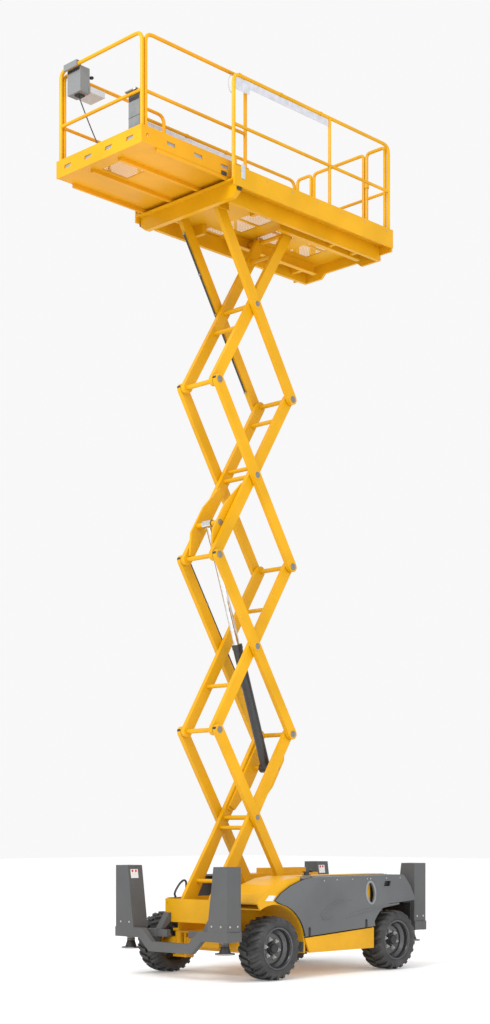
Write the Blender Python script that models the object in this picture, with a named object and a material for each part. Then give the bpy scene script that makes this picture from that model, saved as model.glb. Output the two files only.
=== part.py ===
"""Rough-terrain scissor lift with its platform raised and its deck extension out.

Metres, +X to the machine's front, +Y to its left, +Z up, ground at Z = 0.  Pieces are drawn in
the machine's own frame, with X = 0 midway between the axles, and hang on one empty that moves
the origin to the middle of the whole outline.
"""
import math

import bmesh
import bpy
from mathutils import Matrix, Vector

# ---------------------------------------------------------------- driving dimensions
GAP = 0.0003                 # between pieces that sit on each other
PIN_GAP = 0.0007             # radial, between a pin and its bore
SIDE_GAP = 0.008             # between arms that pass each other
MOVE_GAP = 0.006             # between a moving piece and what it passes

WHEELBASE = 1.87
WIDTH = 1.80
TYRE_RADIUS = 0.32
TYRE_WIDTH = 0.29
RIM_RADIUS = 0.215
HUB_DEPTH = 0.105            # from the tyre's outer face to the wheel disc
KINGPIN_Y = 0.56
KINGPIN_RADIUS = 0.048

FRAME_HALF = 0.375           # outer face of the frame's webs
FRAME_WALL = 0.020
FRAME_BOTTOM = TYRE_RADIUS + 0.120
FRAME_TOP = TYRE_RADIUS + 0.480
FRONT_OVERHANG = 0.350       # from the front axle to the frame's end
REAR_OVERHANG = 0.315
BLOCK_HALF = 0.400           # front block, wider than the webs
BLOCK_BOTTOM = TYRE_RADIUS + 0.240

PANEL_GAP = 0.0005
HINGE_GAP = 0.0008
HOOD_HINGE_Z = TYRE_RADIUS + 0.7065
SIDE_OUT = 0.835             # outer face of the wings and sills
DECK_Z = TYRE_RADIUS + 0.715               # top of the side decks
DECK_IN = 0.600              # where the side deck meets the hood
SHEET = 0.015
ARCH_CLEAR = 0.120           # front wheel to its arch
REAR_ARCH_CLEAR = 0.085
HOOD_OUT = 0.858
HOOD_WALL = 0.020
SILL_BOTTOM = TYRE_RADIUS - 0.070

STAGES = 4
ARM_LENGTH = 2.09            # pin to pin
RAISED = math.radians(58.6)  # arms to the floor, as raised here
ARM_DEPTH = 0.115
ARM_WALL = 0.050
OUTER_HALF = 0.290           # outer face of the outer arms
PIVOT_BACK = 0.115           # foot shaft behind the frame's front
PIVOT_Z = TYRE_RADIUS + 0.430
TUBE_RADIUS = 0.024
BRACE_RADIUS = 0.022
ROLLER_RADIUS = 0.046
ROLLER_WIDTH = 0.040

CYLINDER_FRACTION = 0.825    # of the arm's length, from its foot to the lift cylinder's base pin
CYLINDER_OFFSET = 0.085      # base pin below the arm's middle line
BARREL_RADIUS = 0.052
BARREL_LENGTH = 1.360        # base pin to gland
ROD_RADIUS = 0.0345
ROD_ENGAGED = 0.0515         # of the rod inside the barrel, raised
EYE_RADIUS = 0.044
EYE_HALF = 0.060
GUSSET_IN = 0.150
GUSSET_OUT = 0.176

DECK_AHEAD = 0.238           # of the deck in front of the top pivots
DECK_BEHIND = 0.120          # of the deck behind the stowed arms
DECK_HALF = 0.743
FLOOR_RISE = 0.076           # top pivots to the top of the floor
FLOOR_WALL = 0.012
SKIRT_DROP = 0.071           # below the floor
TOE_RISE = 0.126             # above the floor
BEAM_HALF = 0.566            # outer face of the deck's long beams
BEAM_DROP = 0.170
RAIL_RISE = 1.070            # floor to the top of the guard rail
MID_RISE = 0.550
RAIL_RADIUS = 0.019
RAIL_BEND = 0.090
MID_POST = 1.000             # from the deck's rear
GATE_LEFT = 0.370
GATE_RIGHT = -0.420

EXT_REACH = 1.132            # of the extension past the deck, rolled out
EXT_LENGTH = 1.440
EXT_HALF = 0.637
EXT_FLOOR_RISE = 0.050       # above the main floor
EXT_TOE_RISE = 0.204         # above the main floor
EXT_RAIL_RISE = 1.118

STAB_DEPTH = 0.197
STAB_FRONT_REACH = 0.118     # from the frame to the covers
STAB_REAR_REACH = 0.059
STAB_HALF = 0.825
COVER_TOP = TYRE_RADIUS + 0.826
COVER_WIDTH_TOP = 0.187
COVER_WIDTH_BOTTOM = 0.276
COVER_WALL = 0.006
BEAM_TOP = TYRE_RADIUS + 0.185
BEAM_BOTTOM = TYRE_RADIUS + 0.085
JACK_Y = 0.700
JACK_RADIUS = 0.032
FOOT_RADIUS = 0.098
FOOT_BOTTOM = TYRE_RADIUS - 0.040
U_DROP = 0.135
U_HALF = 0.270
U_SHOULDER = 0.420

# ---------------------------------------------------------------- worked-out places
AXLE_X = WHEELBASE / 2
FRAME_FRONT = AXLE_X + FRONT_OVERHANG
FRAME_REAR = -AXLE_X - REAR_OVERHANG
PIVOT_X = FRAME_FRONT - PIVOT_BACK
DECK_FRONT = PIVOT_X + DECK_AHEAD
DECK_REAR = PIVOT_X - ARM_LENGTH - DECK_BEHIND
MID_POST_X = DECK_REAR + MID_POST
EXT_FRONT = DECK_FRONT + EXT_REACH
EXT_REAR = EXT_FRONT - EXT_LENGTH
STAB_FRONT_BACK = FRAME_FRONT + STAB_FRONT_REACH
STAB_FRONT = STAB_FRONT_BACK + STAB_DEPTH
STAB_REAR_FRONT = FRAME_REAR - STAB_REAR_REACH
STAB_REAR = STAB_REAR_FRONT - STAB_DEPTH
ORIGIN_X = (EXT_FRONT + STAB_REAR) / 2
TYRE_OUT = WIDTH / 2
TYRE_IN = TYRE_OUT - TYRE_WIDTH
DISC_OUT = TYRE_OUT - HUB_DEPTH
DISC_WALL = 0.014
PITCH = ARM_LENGTH * math.sin(RAISED)
SPAN = ARM_LENGTH * math.cos(RAISED)
INNER_OUT = OUTER_HALF - ARM_WALL - SIDE_GAP
INNER_IN = INNER_OUT - ARM_WALL
TOP_Z = PIVOT_Z + STAGES * PITCH
FLOOR_Z = TOP_Z + FLOOR_RISE
SKIRT_BOTTOM = FLOOR_Z - SKIRT_DROP
TOE_TOP = FLOOR_Z + TOE_RISE
BEAM_Z = FLOOR_Z - BEAM_DROP
RAIL_Z = FLOOR_Z + RAIL_RISE - RAIL_RADIUS
MID_Z = FLOOR_Z + MID_RISE
EXT_FLOOR_Z = FLOOR_Z + EXT_FLOOR_RISE
EXT_TOE_TOP = FLOOR_Z + EXT_TOE_RISE
EXT_RAIL_Z = FLOOR_Z + EXT_RAIL_RISE - RAIL_RADIUS
WHEEL_PLACES = {
    "front_left": (AXLE_X, 1), "front_right": (AXLE_X, -1),
    "rear_left": (-AXLE_X, 1), "rear_right": (-AXLE_X, -1),
}

YELLOW = ("yellow paint", (0.87, 0.46, 0.010), 0.38, 0.0)
GREY = ("grey paint", (0.16, 0.17, 0.18), 0.45, 0.0)
RUBBER = ("tyre rubber", (0.022, 0.022, 0.023), 0.85, 0.0)
RIM_GREY = ("rim paint", (0.05, 0.05, 0.053), 0.5, 0.2)
BLACK = ("black parts", (0.03, 0.03, 0.03), 0.6, 0.0)
CHROME = ("chrome", (0.80, 0.80, 0.80), 0.12, 1.0)
STEEL = ("dark steel", (0.09, 0.09, 0.095), 0.45, 0.4)
PLASTIC = ("grey plastic", (0.22, 0.23, 0.24), 0.5, 0.0)
HOSE = ("hose rubber", (0.03, 0.03, 0.035), 0.6, 0.0)


# ---------------------------------------------------------------- shape helpers
def scene_object(name, mesh):
    """A new object in the scene that shows a mesh."""
    made = bpy.data.objects.new(name, mesh)
    bpy.context.scene.collection.objects.link(made)
    return made


def close_mesh(name, bm):
    """Turn a bmesh into a scene object with its faces pointing out."""
    bmesh.ops.recalc_face_normals(bm, faces=bm.faces)
    mesh = bpy.data.meshes.new(name)
    bm.to_mesh(mesh)
    bm.free()
    return scene_object(name, mesh)


def loft(rings, ring_is_closed=False):
    """Skin through rings of points; the ends are capped unless the rings come round again."""
    bm = bmesh.new()
    rows = [[bm.verts.new(point) for point in ring] for ring in rings]
    count = len(rows[0])
    pairs = list(zip(rows, rows[1:]))
    if ring_is_closed:
        pairs.append((rows[-1], rows[0]))
    for one, two in pairs:
        for i in range(count):
            j = (i + 1) % count
            bm.faces.new((one[i], one[j], two[j], two[i]))
    if not ring_is_closed:
        bm.faces.new(rows[0])
        bm.faces.new(rows[-1])
    return close_mesh("loft", bm)


def place_on(axis, u, v, w):
    """A point from its two outline values and its level along an axis."""
    return {"X": (w, u, v), "Y": (u, w, v), "Z": (u, v, w)}[axis]


def prism(outline, axis, low, high):
    """An outline pulled straight along an axis."""
    return loft([[place_on(axis, u, v, w) for u, v in outline] for w in (low, high)])


def box(low, high):
    """A block between two corners."""
    outline = [(low[0], low[1]), (high[0], low[1]), (high[0], high[1]), (low[0], high[1])]
    return prism(outline, "Z", low[2], high[2])


def circle(radius, sides, turn=0.0):
    """Points round a circle."""
    step = 2 * math.pi / sides
    return [(radius * math.cos(turn + i * step), radius * math.sin(turn + i * step))
            for i in range(sides)]


def round_bar(centre, axis, low, high, radius, sides=20):
    """A round bar along X, Y or Z; centre gives its two other coordinates."""
    outline = [(centre[0] + u, centre[1] + v) for u, v in circle(radius, sides)]
    return prism(outline, axis, low, high)


def cone(centre, low, high, low_radius, high_radius, sides=20):
    """A round taper that stands upright."""
    rings = [[(centre[0] + u, centre[1] + v, z) for u, v in circle(radius, sides)]
             for z, radius in ((low, low_radius), (high, high_radius))]
    return loft(rings)


def bar_between(start, end, radius, sides=20):
    """A round bar between two points."""
    start, end = Vector(start), Vector(end)
    along = (end - start).normalized()
    side = along.cross(Vector((0, 1, 0)))
    if side.length < 0.1:
        side = along.cross(Vector((0, 0, 1)))
    side.normalize()
    other = along.cross(side)
    rings = [[point + side * u + other * v for u, v in circle(radius, sides)]
             for point in (start, end)]
    return loft(rings)


def bent_tube(points, radius, sides=8):
    """A round tube along points, mitred at each."""
    points = [Vector(point) for point in points]
    steps = [(b - a).normalized() for a, b in zip(points, points[1:])]
    side = steps[0].orthogonal().normalized()
    rings = []
    for i, point in enumerate(points):
        before, after = steps[max(i - 1, 0)], steps[min(i, len(steps) - 1)]
        along = (before + after).normalized()
        side = (side - along * side.dot(along)).normalized()
        other = along.cross(side)
        rings.append([point + side * u + other * v for u, v in circle(radius, sides)])
    return loft(rings)


def rounded_path(corners, bend, steps=4):
    """A path of straight runs whose inner corners are rounded."""
    corners = [Vector(corner) for corner in corners]
    path = [corners[0]]
    for before, corner, after in zip(corners, corners[1:], corners[2:]):
        start = corner + (before - corner).normalized() * bend
        end = corner + (after - corner).normalized() * bend
        for i in range(steps + 1):
            t = i / steps
            path.append((1 - t) ** 2 * start + 2 * t * (1 - t) * corner + t * t * end)
    path.append(corners[-1])
    return path


def turned(profile, x, z, side, sides):
    """A profile of (radius, distance from the machine's middle) turned about a wheel's axle."""
    rings = []
    for i in range(sides):
        turn = 2 * math.pi * i / sides
        rings.append([(x + r * math.cos(turn), side * y, z + r * math.sin(turn))
                      for r, y in profile])
    return loft(rings, ring_is_closed=True)


def combined(pieces, cuts=()):
    """One mesh from pieces that bite into each other, less the cutters."""
    base = pieces[0]
    for operation, others in (("UNION", pieces[1:]), ("DIFFERENCE", cuts)):
        for other in others:
            step = base.modifiers.new(operation.lower(), "BOOLEAN")
            step.operation = operation
            step.solver = "EXACT"
            step.object = other
    shown = base.evaluated_get(bpy.context.evaluated_depsgraph_get())
    mesh = bpy.data.meshes.new_from_object(shown)
    for used in list(pieces) + list(cuts):
        bpy.data.objects.remove(used)
    bm = bmesh.new()
    bm.from_mesh(mesh)
    bmesh.ops.remove_doubles(bm, verts=bm.verts, dist=2e-5)
    bmesh.ops.dissolve_degenerate(bm, dist=1e-5, edges=bm.edges)
    bmesh.ops.holes_fill(bm, edges=[edge for edge in bm.edges if edge.is_boundary])
    bm.to_mesh(mesh)
    bm.free()
    return mesh


def finish(paint):
    """A plain material from its name, colour, roughness and metallic value."""
    name, colour, roughness, metallic = paint
    material = bpy.data.materials.new(name)
    material.use_nodes = True
    shader = material.node_tree.nodes["Principled BSDF"]
    shader.inputs["Base Color"].default_value = (*colour, 1.0)
    shader.inputs["Roughness"].default_value = roughness
    shader.inputs["Metallic"].default_value = metallic
    return material


def piece(name, paint, pieces, cuts=(), pivot=(0.0, 0.0, 0.0)):
    """A finished sub-part, with its origin on its joint's axis."""
    mesh = combined(list(pieces), list(cuts))
    mesh.name = name
    mesh.transform(Matrix.Translation(-Vector(pivot)))
    mesh.materials.clear()
    mesh.materials.append(finish(paint))
    mesh.shade_smooth()
    mesh.set_sharp_from_angle(angle=math.radians(32))
    made = scene_object(name, mesh)
    made.location = pivot
    made.parent = machine
    return made


def span(side, inner, outer):
    """Low and high limits of a band on one side of the middle."""
    return (inner, outer) if side > 0 else (-outer, -inner)


# ---------------------------------------------------------------- wheels and axles
def wheel(name, x, side):
    """A deep-dish rim and its tyre."""
    z = TYRE_RADIUS
    shoulder = TYRE_RADIUS - 0.022
    tyre = [
        (RIM_RADIUS + GAP, TYRE_IN + 0.012), (0.262, TYRE_IN), (shoulder, TYRE_IN + 0.010),
        (TYRE_RADIUS, TYRE_IN + 0.045), (TYRE_RADIUS, TYRE_OUT - 0.045),
        (shoulder, TYRE_OUT - 0.010), (0.262, TYRE_OUT), (RIM_RADIUS + GAP, TYRE_OUT - 0.012),
    ]
    disc_in = DISC_OUT - DISC_WALL
    rim = [
        (0.030, disc_in), (0.165, disc_in), (0.195, disc_in - 0.010), (0.203, TYRE_IN + 0.020),
        (RIM_RADIUS, TYRE_IN + 0.014), (RIM_RADIUS, TYRE_OUT - 0.014),
        (0.205, TYRE_OUT - 0.018), (0.196, DISC_OUT + 0.030), (0.165, DISC_OUT),
        (0.072, DISC_OUT), (0.060, DISC_OUT + 0.028), (0.030, DISC_OUT + 0.030),
    ]
    axle = (x, side * (TYRE_OUT - TYRE_WIDTH / 2), z)
    piece(name + "_tyre", RUBBER, [turned(tyre, x, z, side, 32)], pivot=axle)
    piece(name + "_rim", RIM_GREY, [turned(rim, x, z, side, 32)], pivot=axle)


HUB_FACE = DISC_OUT - DISC_WALL - GAP
FORK_TOP = TYRE_RADIUS + 0.125
FORK_BOTTOM = TYRE_RADIUS - 0.125


def knuckle(side):
    """A steering knuckle: the kingpin housing and the drive hub that carries the wheel."""
    x, z = AXLE_X, TYRE_RADIUS
    low, high = span(side, KINGPIN_Y, HUB_FACE)
    flange_low, flange_high = span(side, HUB_FACE - 0.014, HUB_FACE)
    arm_low, arm_high = span(side, KINGPIN_Y - 0.060, KINGPIN_Y - 0.002)
    pieces = [
        round_bar((x, side * KINGPIN_Y), "Z", FORK_BOTTOM + GAP, FORK_TOP - GAP, KINGPIN_RADIUS),
        round_bar((x, z), "Y", low, high, 0.062),
        round_bar((x, z), "Y", flange_low, flange_high, 0.100),
        box((x - 0.170, arm_low, z - 0.016), (x - 0.02, arm_high, z + 0.016)),
    ]
    name = "left_knuckle" if side > 0 else "right_knuckle"
    piece(name, YELLOW, pieces, pivot=(x, side * KINGPIN_Y, z))


def front_axle():
    """The steering axle: a beam with a fork at each end round the kingpin housings."""
    x, z = AXLE_X, TYRE_RADIUS
    reach = KINGPIN_Y + 0.050
    pieces = [
        box((x - 0.050, -0.420, z - 0.065), (x + 0.050, 0.420, z + 0.065)),
        box((x - 0.160, -0.200, z - 0.020), (x + 0.160, 0.200, FRAME_BOTTOM - GAP)),
    ]
    for side in (1, -1):
        low, high = span(side, 0.405, 0.435)
        pieces.append(box((x - 0.056, low, FORK_BOTTOM - 0.028), (x + 0.056, high, FORK_TOP + 0.028)))
        low, high = span(side, 0.410, reach)
        for z_low in (FORK_BOTTOM - 0.026, FORK_TOP):
            pieces.append(box((x - 0.052, low, z_low), (x + 0.052, high, z_low + 0.026)))
    piece("front_axle", YELLOW, pieces)


def rear_axle():
    """The fixed rear axle with a drive hub at each end."""
    x, z = -AXLE_X, TYRE_RADIUS
    pieces = [
        box((x - 0.055, -0.60, z - 0.070), (x + 0.055, 0.60, z + 0.070)),
        box((x - 0.14, -0.22, z), (x + 0.14, 0.22, FRAME_BOTTOM - GAP)),
    ]
    for side in (1, -1):
        pieces.append(round_bar((x, z), "Y", *span(side, 0.50, HUB_FACE), 0.062))
        pieces.append(round_bar((x, z), "Y", *span(side, HUB_FACE - 0.014, HUB_FACE), 0.100))
    piece("rear_axle", YELLOW, pieces)


# ---------------------------------------------------------------- chassis
TRACK_BOTTOM = PIVOT_Z - ROLLER_RADIUS - 0.0008
TRACK_TOP = PIVOT_Z + ROLLER_RADIUS + 0.002
TRACK_WALL = 0.012
TRACK_IN = OUTER_HALF + 0.007
TRACK_FRONT = 0.30


def chassis_frame():
    """Two webs with roller tracks, a floor, a front block and the scissor's foot shaft."""
    web_in = FRAME_HALF - FRAME_WALL
    pieces = [box((FRAME_REAR, -FRAME_HALF, FRAME_BOTTOM),
                  (FRAME_FRONT, FRAME_HALF, FRAME_BOTTOM + 0.020))]
    for side in (1, -1):
        low, high = span(side, web_in, FRAME_HALF)
        pieces.append(box((FRAME_REAR, low, FRAME_BOTTOM), (FRAME_FRONT, high, FRAME_TOP + 0.012)))
        low, high = span(side, TRACK_IN, web_in + 0.005)
        for z in (TRACK_BOTTOM - TRACK_WALL, TRACK_TOP):
            pieces.append(box((FRAME_REAR + 0.03, low, z), (TRACK_FRONT, high, z + TRACK_WALL)))
    pieces.append(box((FRAME_FRONT - 0.025, -BLOCK_HALF, BLOCK_BOTTOM),
                      (FRAME_FRONT + 0.005, BLOCK_HALF, FRAME_TOP)))
    pieces.append(box((FRAME_REAR - 0.005, -0.39, FRAME_BOTTOM),
                      (FRAME_REAR + 0.015, 0.39, FRAME_TOP)))
    for side in (1, -1):
        low, high = span(side, FRAME_HALF - 0.005, BLOCK_HALF)
        pieces.append(box((FRAME_FRONT - 0.10, low, BLOCK_BOTTOM), (FRAME_FRONT, high, FRAME_TOP)))
        low, high = span(side, INNER_OUT + SIDE_GAP, web_in + 0.005)
        pieces.append(round_bar((PIVOT_X, PIVOT_Z), "Y", low, high, 0.045))
    pieces.append(round_bar((PIVOT_X, PIVOT_Z), "Y", -0.30, 0.30, TUBE_RADIUS))
    nose = box((FRAME_FRONT - 0.150, -0.5, FRAME_BOTTOM - 0.1),
               (FRAME_FRONT + 0.1, 0.5, BLOCK_BOTTOM - 0.002))
    piece("chassis_frame", YELLOW, pieces, [nose])


def arc(centre, radius, start, end, steps):
    """Points along an arc, angles in degrees."""
    cx, cz = centre
    points = []
    for i in range(steps + 1):
        turn = math.radians(start + (end - start) * i / steps)
        points.append((cx + radius * math.cos(turn), cz + radius * math.sin(turn)))
    return points


def by_front(x, z):
    """A point from the front wheel's centre."""
    return AXLE_X + x, TYRE_RADIUS + z


def by_rear(x, z):
    """A point from the rear wheel's centre."""
    return x - AXLE_X, TYRE_RADIUS + z


WHEEL_CENTRE = (AXLE_X, TYRE_RADIUS)
ARCH_RADIUS = TYRE_RADIUS + ARCH_CLEAR
WING_LINE = [by_front(0.250, 0.462), by_front(0.155, 0.555), by_front(0.015, 0.635),
             by_front(-0.175, 0.692), (AXLE_X - 0.375, DECK_Z)]
HOOD_TIP = by_front(0.010, 0.480)
HOOD_TOP_FRONT = [by_front(-0.075, 0.552), by_front(-0.215, 0.622), by_front(-0.375, 0.675),
                  by_front(-0.535, 0.706)]
HOOD_TOP = TYRE_RADIUS + 0.706
HOOD_REAR = -AXLE_X - 0.125
SIDE_REAR = HOOD_REAR + 0.010
POD_REAR = -AXLE_X + 0.345
TRAY_FRONT = AXLE_X - 0.495
RIGHT_FRONT = AXLE_X - 0.575     # the right pod stops short of its wheel


def side_panel(side):
    """Side deck, inner wall, sill and tray; the left one also has the wing over its wheel."""
    y_in = FRAME_HALF + PANEL_GAP
    deck_front = AXLE_X - 0.370 if side > 0 else RIGHT_FRONT
    liner_start = 62 if side > 0 else 150
    liner = (arc(WHEEL_CENTRE, ARCH_RADIUS + SHEET, liner_start, 189, 10)
             + arc(WHEEL_CENTRE, ARCH_RADIUS, 189, liner_start, 10))
    sill = [by_front(-0.435, 0.084), by_rear(0.345, 0.148), (POD_REAR, SILL_BOTTOM),
            (TRAY_FRONT - 0.010, SILL_BOTTOM)]
    back = [(SIDE_REAR, DECK_Z - 0.004), by_rear(-0.115, 0.480), by_rear(0.345, 0.440),
            (POD_REAR, SILL_BOTTOM), (TRAY_FRONT + 0.030, SILL_BOTTOM), by_front(-0.430, 0.100)]
    ahead = [by_front(-0.475, 0.300), by_front(-0.575, 0.580), (RIGHT_FRONT, DECK_Z - 0.004)]
    if side > 0:
        ahead = [by_front(-0.235, 0.385), by_front(0.005, 0.455), by_front(0.245, 0.420),
                 by_front(0.245, 0.455), by_front(0.151, 0.546), by_front(0.011, 0.626),
                 by_front(-0.179, 0.683), (AXLE_X - 0.375, DECK_Z - 0.004)]
    deck_low, deck_high = span(side, y_in + 0.005, DECK_IN)
    tray_low, tray_high = span(side, y_in + 0.006, SIDE_OUT)
    pieces = [
        prism(back + ahead, "Y", *span(side, y_in, y_in + SHEET)),
        prism(liner, "Y", *span(side, y_in + 0.004, SIDE_OUT - 0.004)),
        box((SIDE_REAR + 0.002, deck_low, DECK_Z - SHEET - 0.002), (deck_front, deck_high, DECK_Z - 0.002)),
        box((POD_REAR + 0.002, tray_low, SILL_BOTTOM + 0.002),
            (TRAY_FRONT, tray_high, SILL_BOTTOM + 0.018)),
        box((POD_REAR + 0.004, tray_low, SILL_BOTTOM + 0.006),
            (POD_REAR + SHEET, tray_high, TYRE_RADIUS + 0.320)),
        prism(sill, "Y", *span(side, SIDE_OUT - 0.006, SIDE_OUT + 0.014)),
    ]
    if side > 0:
        wing_under = [(x - 0.004, z - SHEET) for x, z in reversed(WING_LINE)]
        wing_side = (WING_LINE + [by_front(-0.375, 0.610), by_front(-0.215, 0.560), by_front(-0.075, 0.480)]
                     + arc(WHEEL_CENTRE, ARCH_RADIUS + 0.002, 91, 62, 4))
        pieces.append(prism(WING_LINE + wing_under, "Y", *span(side, y_in + 0.003, SIDE_OUT)))
        pieces.append(prism(wing_side, "Y", *span(side, SIDE_OUT - 0.016, SIDE_OUT + 0.002)))
    else:
        low, high = span(side, 0.420, 0.580)
        pieces.append(box((POD_REAR - 0.300, low, DECK_Z - 0.004),
                          (POD_REAR + 0.340, high, DECK_Z + 0.055)))
    name = "left_side_panel" if side > 0 else "right_side_panel"
    piece(name, YELLOW, pieces)


def hood(side):
    """A hollow side hood that lifts about its top inner edge."""
    lower_front = by_front(-0.423, 0.098)
    lower_rear = by_rear(0.330, 0.164)
    rear_wheel = (-AXLE_X, TYRE_RADIUS)
    front_arch = arc(WHEEL_CENTRE, ARCH_RADIUS + 0.010, 92, 166, 8)
    rear_arch = arc(rear_wheel, TYRE_RADIUS + REAR_ARCH_CLEAR, 32, 78, 5)
    tail = [by_rear(-0.340, 0.422), by_rear(-0.327, 0.480), by_rear(-0.265, 0.580),
            by_rear(-0.155, 0.698), by_rear(-0.125, 0.706)]
    left_front = HOOD_TOP_FRONT[::-1] + [HOOD_TIP] + front_arch[1:]
    right_front = [by_front(-0.605, 0.706), by_front(-0.555, 0.640), by_front(-0.465, 0.300)]
    outline = (left_front if side > 0 else right_front) + [lower_front, lower_rear]
    outline += rear_arch + tail
    front = AXLE_X - 0.380 if side > 0 else RIGHT_FRONT - 0.035
    under = HOOD_TOP - 0.018
    y_top = DECK_IN + HINGE_GAP
    low, high = span(side, HOOD_OUT - HOOD_WALL, HOOD_OUT)
    top = [(front, HOOD_TOP), (HOOD_REAR, HOOD_TOP), (HOOD_REAR, under), (front, under)]
    slope = HOOD_TOP_FRONT + [by_front(-0.535, 0.688), by_front(-0.382, 0.658),
                              by_front(-0.223, 0.605), by_front(-0.085, 0.536)]
    low_rim, high_rim = span(side, y_top, HOOD_OUT - 0.004)
    low_slope, high_slope = span(side, SIDE_OUT + 0.004, HOOD_OUT - 0.004)
    pieces = [
        prism(outline, "Y", low, high),
        prism(top, "Y", low_rim, high_rim),
        box((HOOD_REAR + 0.002, low_rim, HOOD_TOP - 0.096),
            (HOOD_REAR + 0.020, high_rim, under + 0.004)),
    ]
    if side > 0:
        pieces.append(prism(slope, "Y", low_slope, high_slope))
    grip = [by_rear(0.405 + 0.058 * math.cos(t) + 0.012 * math.sin(t), 0.522 + 0.105 * math.sin(t))
            for t in (2 * math.pi * i / 16 for i in range(16))]
    window = [by_rear(0.190, 0.585), by_rear(0.085, 0.585), by_rear(0.070, 0.640), by_rear(0.170, 0.640)]
    cut_low, cut_high = span(side, HOOD_OUT - HOOD_WALL - 0.01, HOOD_OUT + 0.01)
    cuts = [prism(grip, "Y", cut_low, cut_high), prism(window, "Y", cut_low, cut_high)]
    name = "left_hood" if side > 0 else "right_hood"
    piece(name, GREY, pieces, cuts, pivot=(0.0, side * y_top, HOOD_HINGE_Z))


def engine_block():
    """The engine as one plain block on the right tray."""
    piece("engine_block", STEEL, [box((POD_REAR + 0.170, -0.80, SILL_BOTTOM + 0.018 + GAP),
                                      (TRAY_FRONT - 0.220, -0.44, TYRE_RADIUS + 0.540))])


# ---------------------------------------------------------------- stabilisers
def stabiliser_beam(name, x_back, x_front, dropped):
    """A cross beam with a socket for each jack and two arms back to the frame."""
    reach = STAB_HALF + 0.012
    half = [(U_HALF, BEAM_TOP - U_DROP), (U_SHOULDER, BEAM_TOP), (reach, BEAM_TOP),
            (reach, BEAM_BOTTOM), (U_SHOULDER + 0.045, BEAM_BOTTOM),
            (U_HALF + 0.045, BEAM_BOTTOM - U_DROP)]
    if not dropped:
        half = [(0.20, BEAM_TOP), (reach, BEAM_TOP), (reach, BEAM_BOTTOM), (0.20, BEAM_BOTTOM)]
    outline = half + [(-y, z) for y, z in reversed(half)]
    ahead = x_front > 0
    low, high = (x_front - 0.060, x_front) if ahead else (x_back, x_back + 0.060)
    pieces = [prism(outline, "X", low, high)]
    frame_x = FRAME_FRONT + 0.005 + GAP if ahead else FRAME_REAR - 0.005 - GAP
    arm_low, arm_high = sorted((frame_x, (low + high) / 2))
    for side in (1, -1):
        y_low, y_high = span(side, 0.560, reach - 0.002)
        pieces.append(box((x_back, y_low, BEAM_BOTTOM + 0.002), (x_front, y_high, BEAM_TOP - 0.002)))
        if ahead:
            y_low, y_high = span(side, 0.310, 0.390)
            arm = [(frame_x, BLOCK_BOTTOM + 0.005), (frame_x, BLOCK_BOTTOM + 0.095),
                   (frame_x + 0.03, BLOCK_BOTTOM + 0.095),
                   (x_back + 0.03, BEAM_TOP - 0.010), (x_back + 0.09, BEAM_TOP - 0.010),
                   (x_back + 0.09, BEAM_BOTTOM + 0.010)]
            pieces.append(prism(arm, "Y", y_low, y_high))
            y_low, y_high = span(side, 0.160, 0.600)
            pieces.append(box((x_back + 0.035, y_low, BEAM_BOTTOM + 0.014),
                              (x_back + 0.085, y_high, BEAM_TOP - 0.014)))
        else:
            y_low, y_high = span(side, 0.290, 0.370)
            pieces.append(box((arm_low, y_low, FRAME_BOTTOM + 0.004),
                              (arm_high, y_high, BEAM_TOP - 0.004)))
    jack_x = (x_back + x_front) / 2
    cuts = [round_bar((jack_x, side * JACK_Y), "Z", BEAM_BOTTOM - 0.1, BEAM_TOP + 0.1,
                      JACK_RADIUS + PIN_GAP) for side in (1, -1)]
    piece(name, GREY, pieces, cuts)


def cover_ring(x_back, x_front, side, width, z, shrink=0.0):
    """One level of a stabiliser cover."""
    inner = STAB_HALF - width + shrink
    outer = STAB_HALF - shrink
    return [(x_back + shrink, side * inner, z), (x_front - shrink, side * inner, z),
            (x_front - shrink, side * outer, z), (x_back + shrink, side * outer, z)]


def stabiliser_cover(name, x_back, x_front, side):
    """A tapered hollow cover round a jack, open below."""
    bottom = BEAM_TOP + GAP
    outside = loft([cover_ring(x_back, x_front, side, COVER_WIDTH_BOTTOM, bottom),
                    cover_ring(x_back, x_front, side, COVER_WIDTH_TOP, COVER_TOP)])
    inside = loft([cover_ring(x_back, x_front, side, COVER_WIDTH_BOTTOM, bottom - 0.01, COVER_WALL),
                   cover_ring(x_back, x_front, side, COVER_WIDTH_TOP, COVER_TOP - COVER_WALL,
                              COVER_WALL)])
    piece(name, GREY, [outside], [inside])


def jack(name, x_back, x_front, side):
    """A stabiliser leg with its cone and round foot."""
    x, y = (x_back + x_front) / 2, side * JACK_Y
    pieces = [
        round_bar((x, y), "Z", FOOT_BOTTOM + 0.05, COVER_TOP - 0.060, JACK_RADIUS),
        cone((x, y), FOOT_BOTTOM + 0.012, FOOT_BOTTOM + 0.080, 0.062, 0.040),
        round_bar((x, y), "Z", FOOT_BOTTOM, FOOT_BOTTOM + 0.014, FOOT_RADIUS, 24),
    ]
    piece(name, BLACK, pieces, pivot=(x, y, FOOT_BOTTOM))


# ---------------------------------------------------------------- scissor
def front_pin(level):
    """Where the front corner at a level is, raised."""
    return Vector((PIVOT_X, 0, PIVOT_Z + level * PITCH))


def rear_pin(level):
    """Where the rear corner at a level is, raised."""
    return Vector((PIVOT_X - SPAN, 0, PIVOT_Z + level * PITCH))


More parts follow.
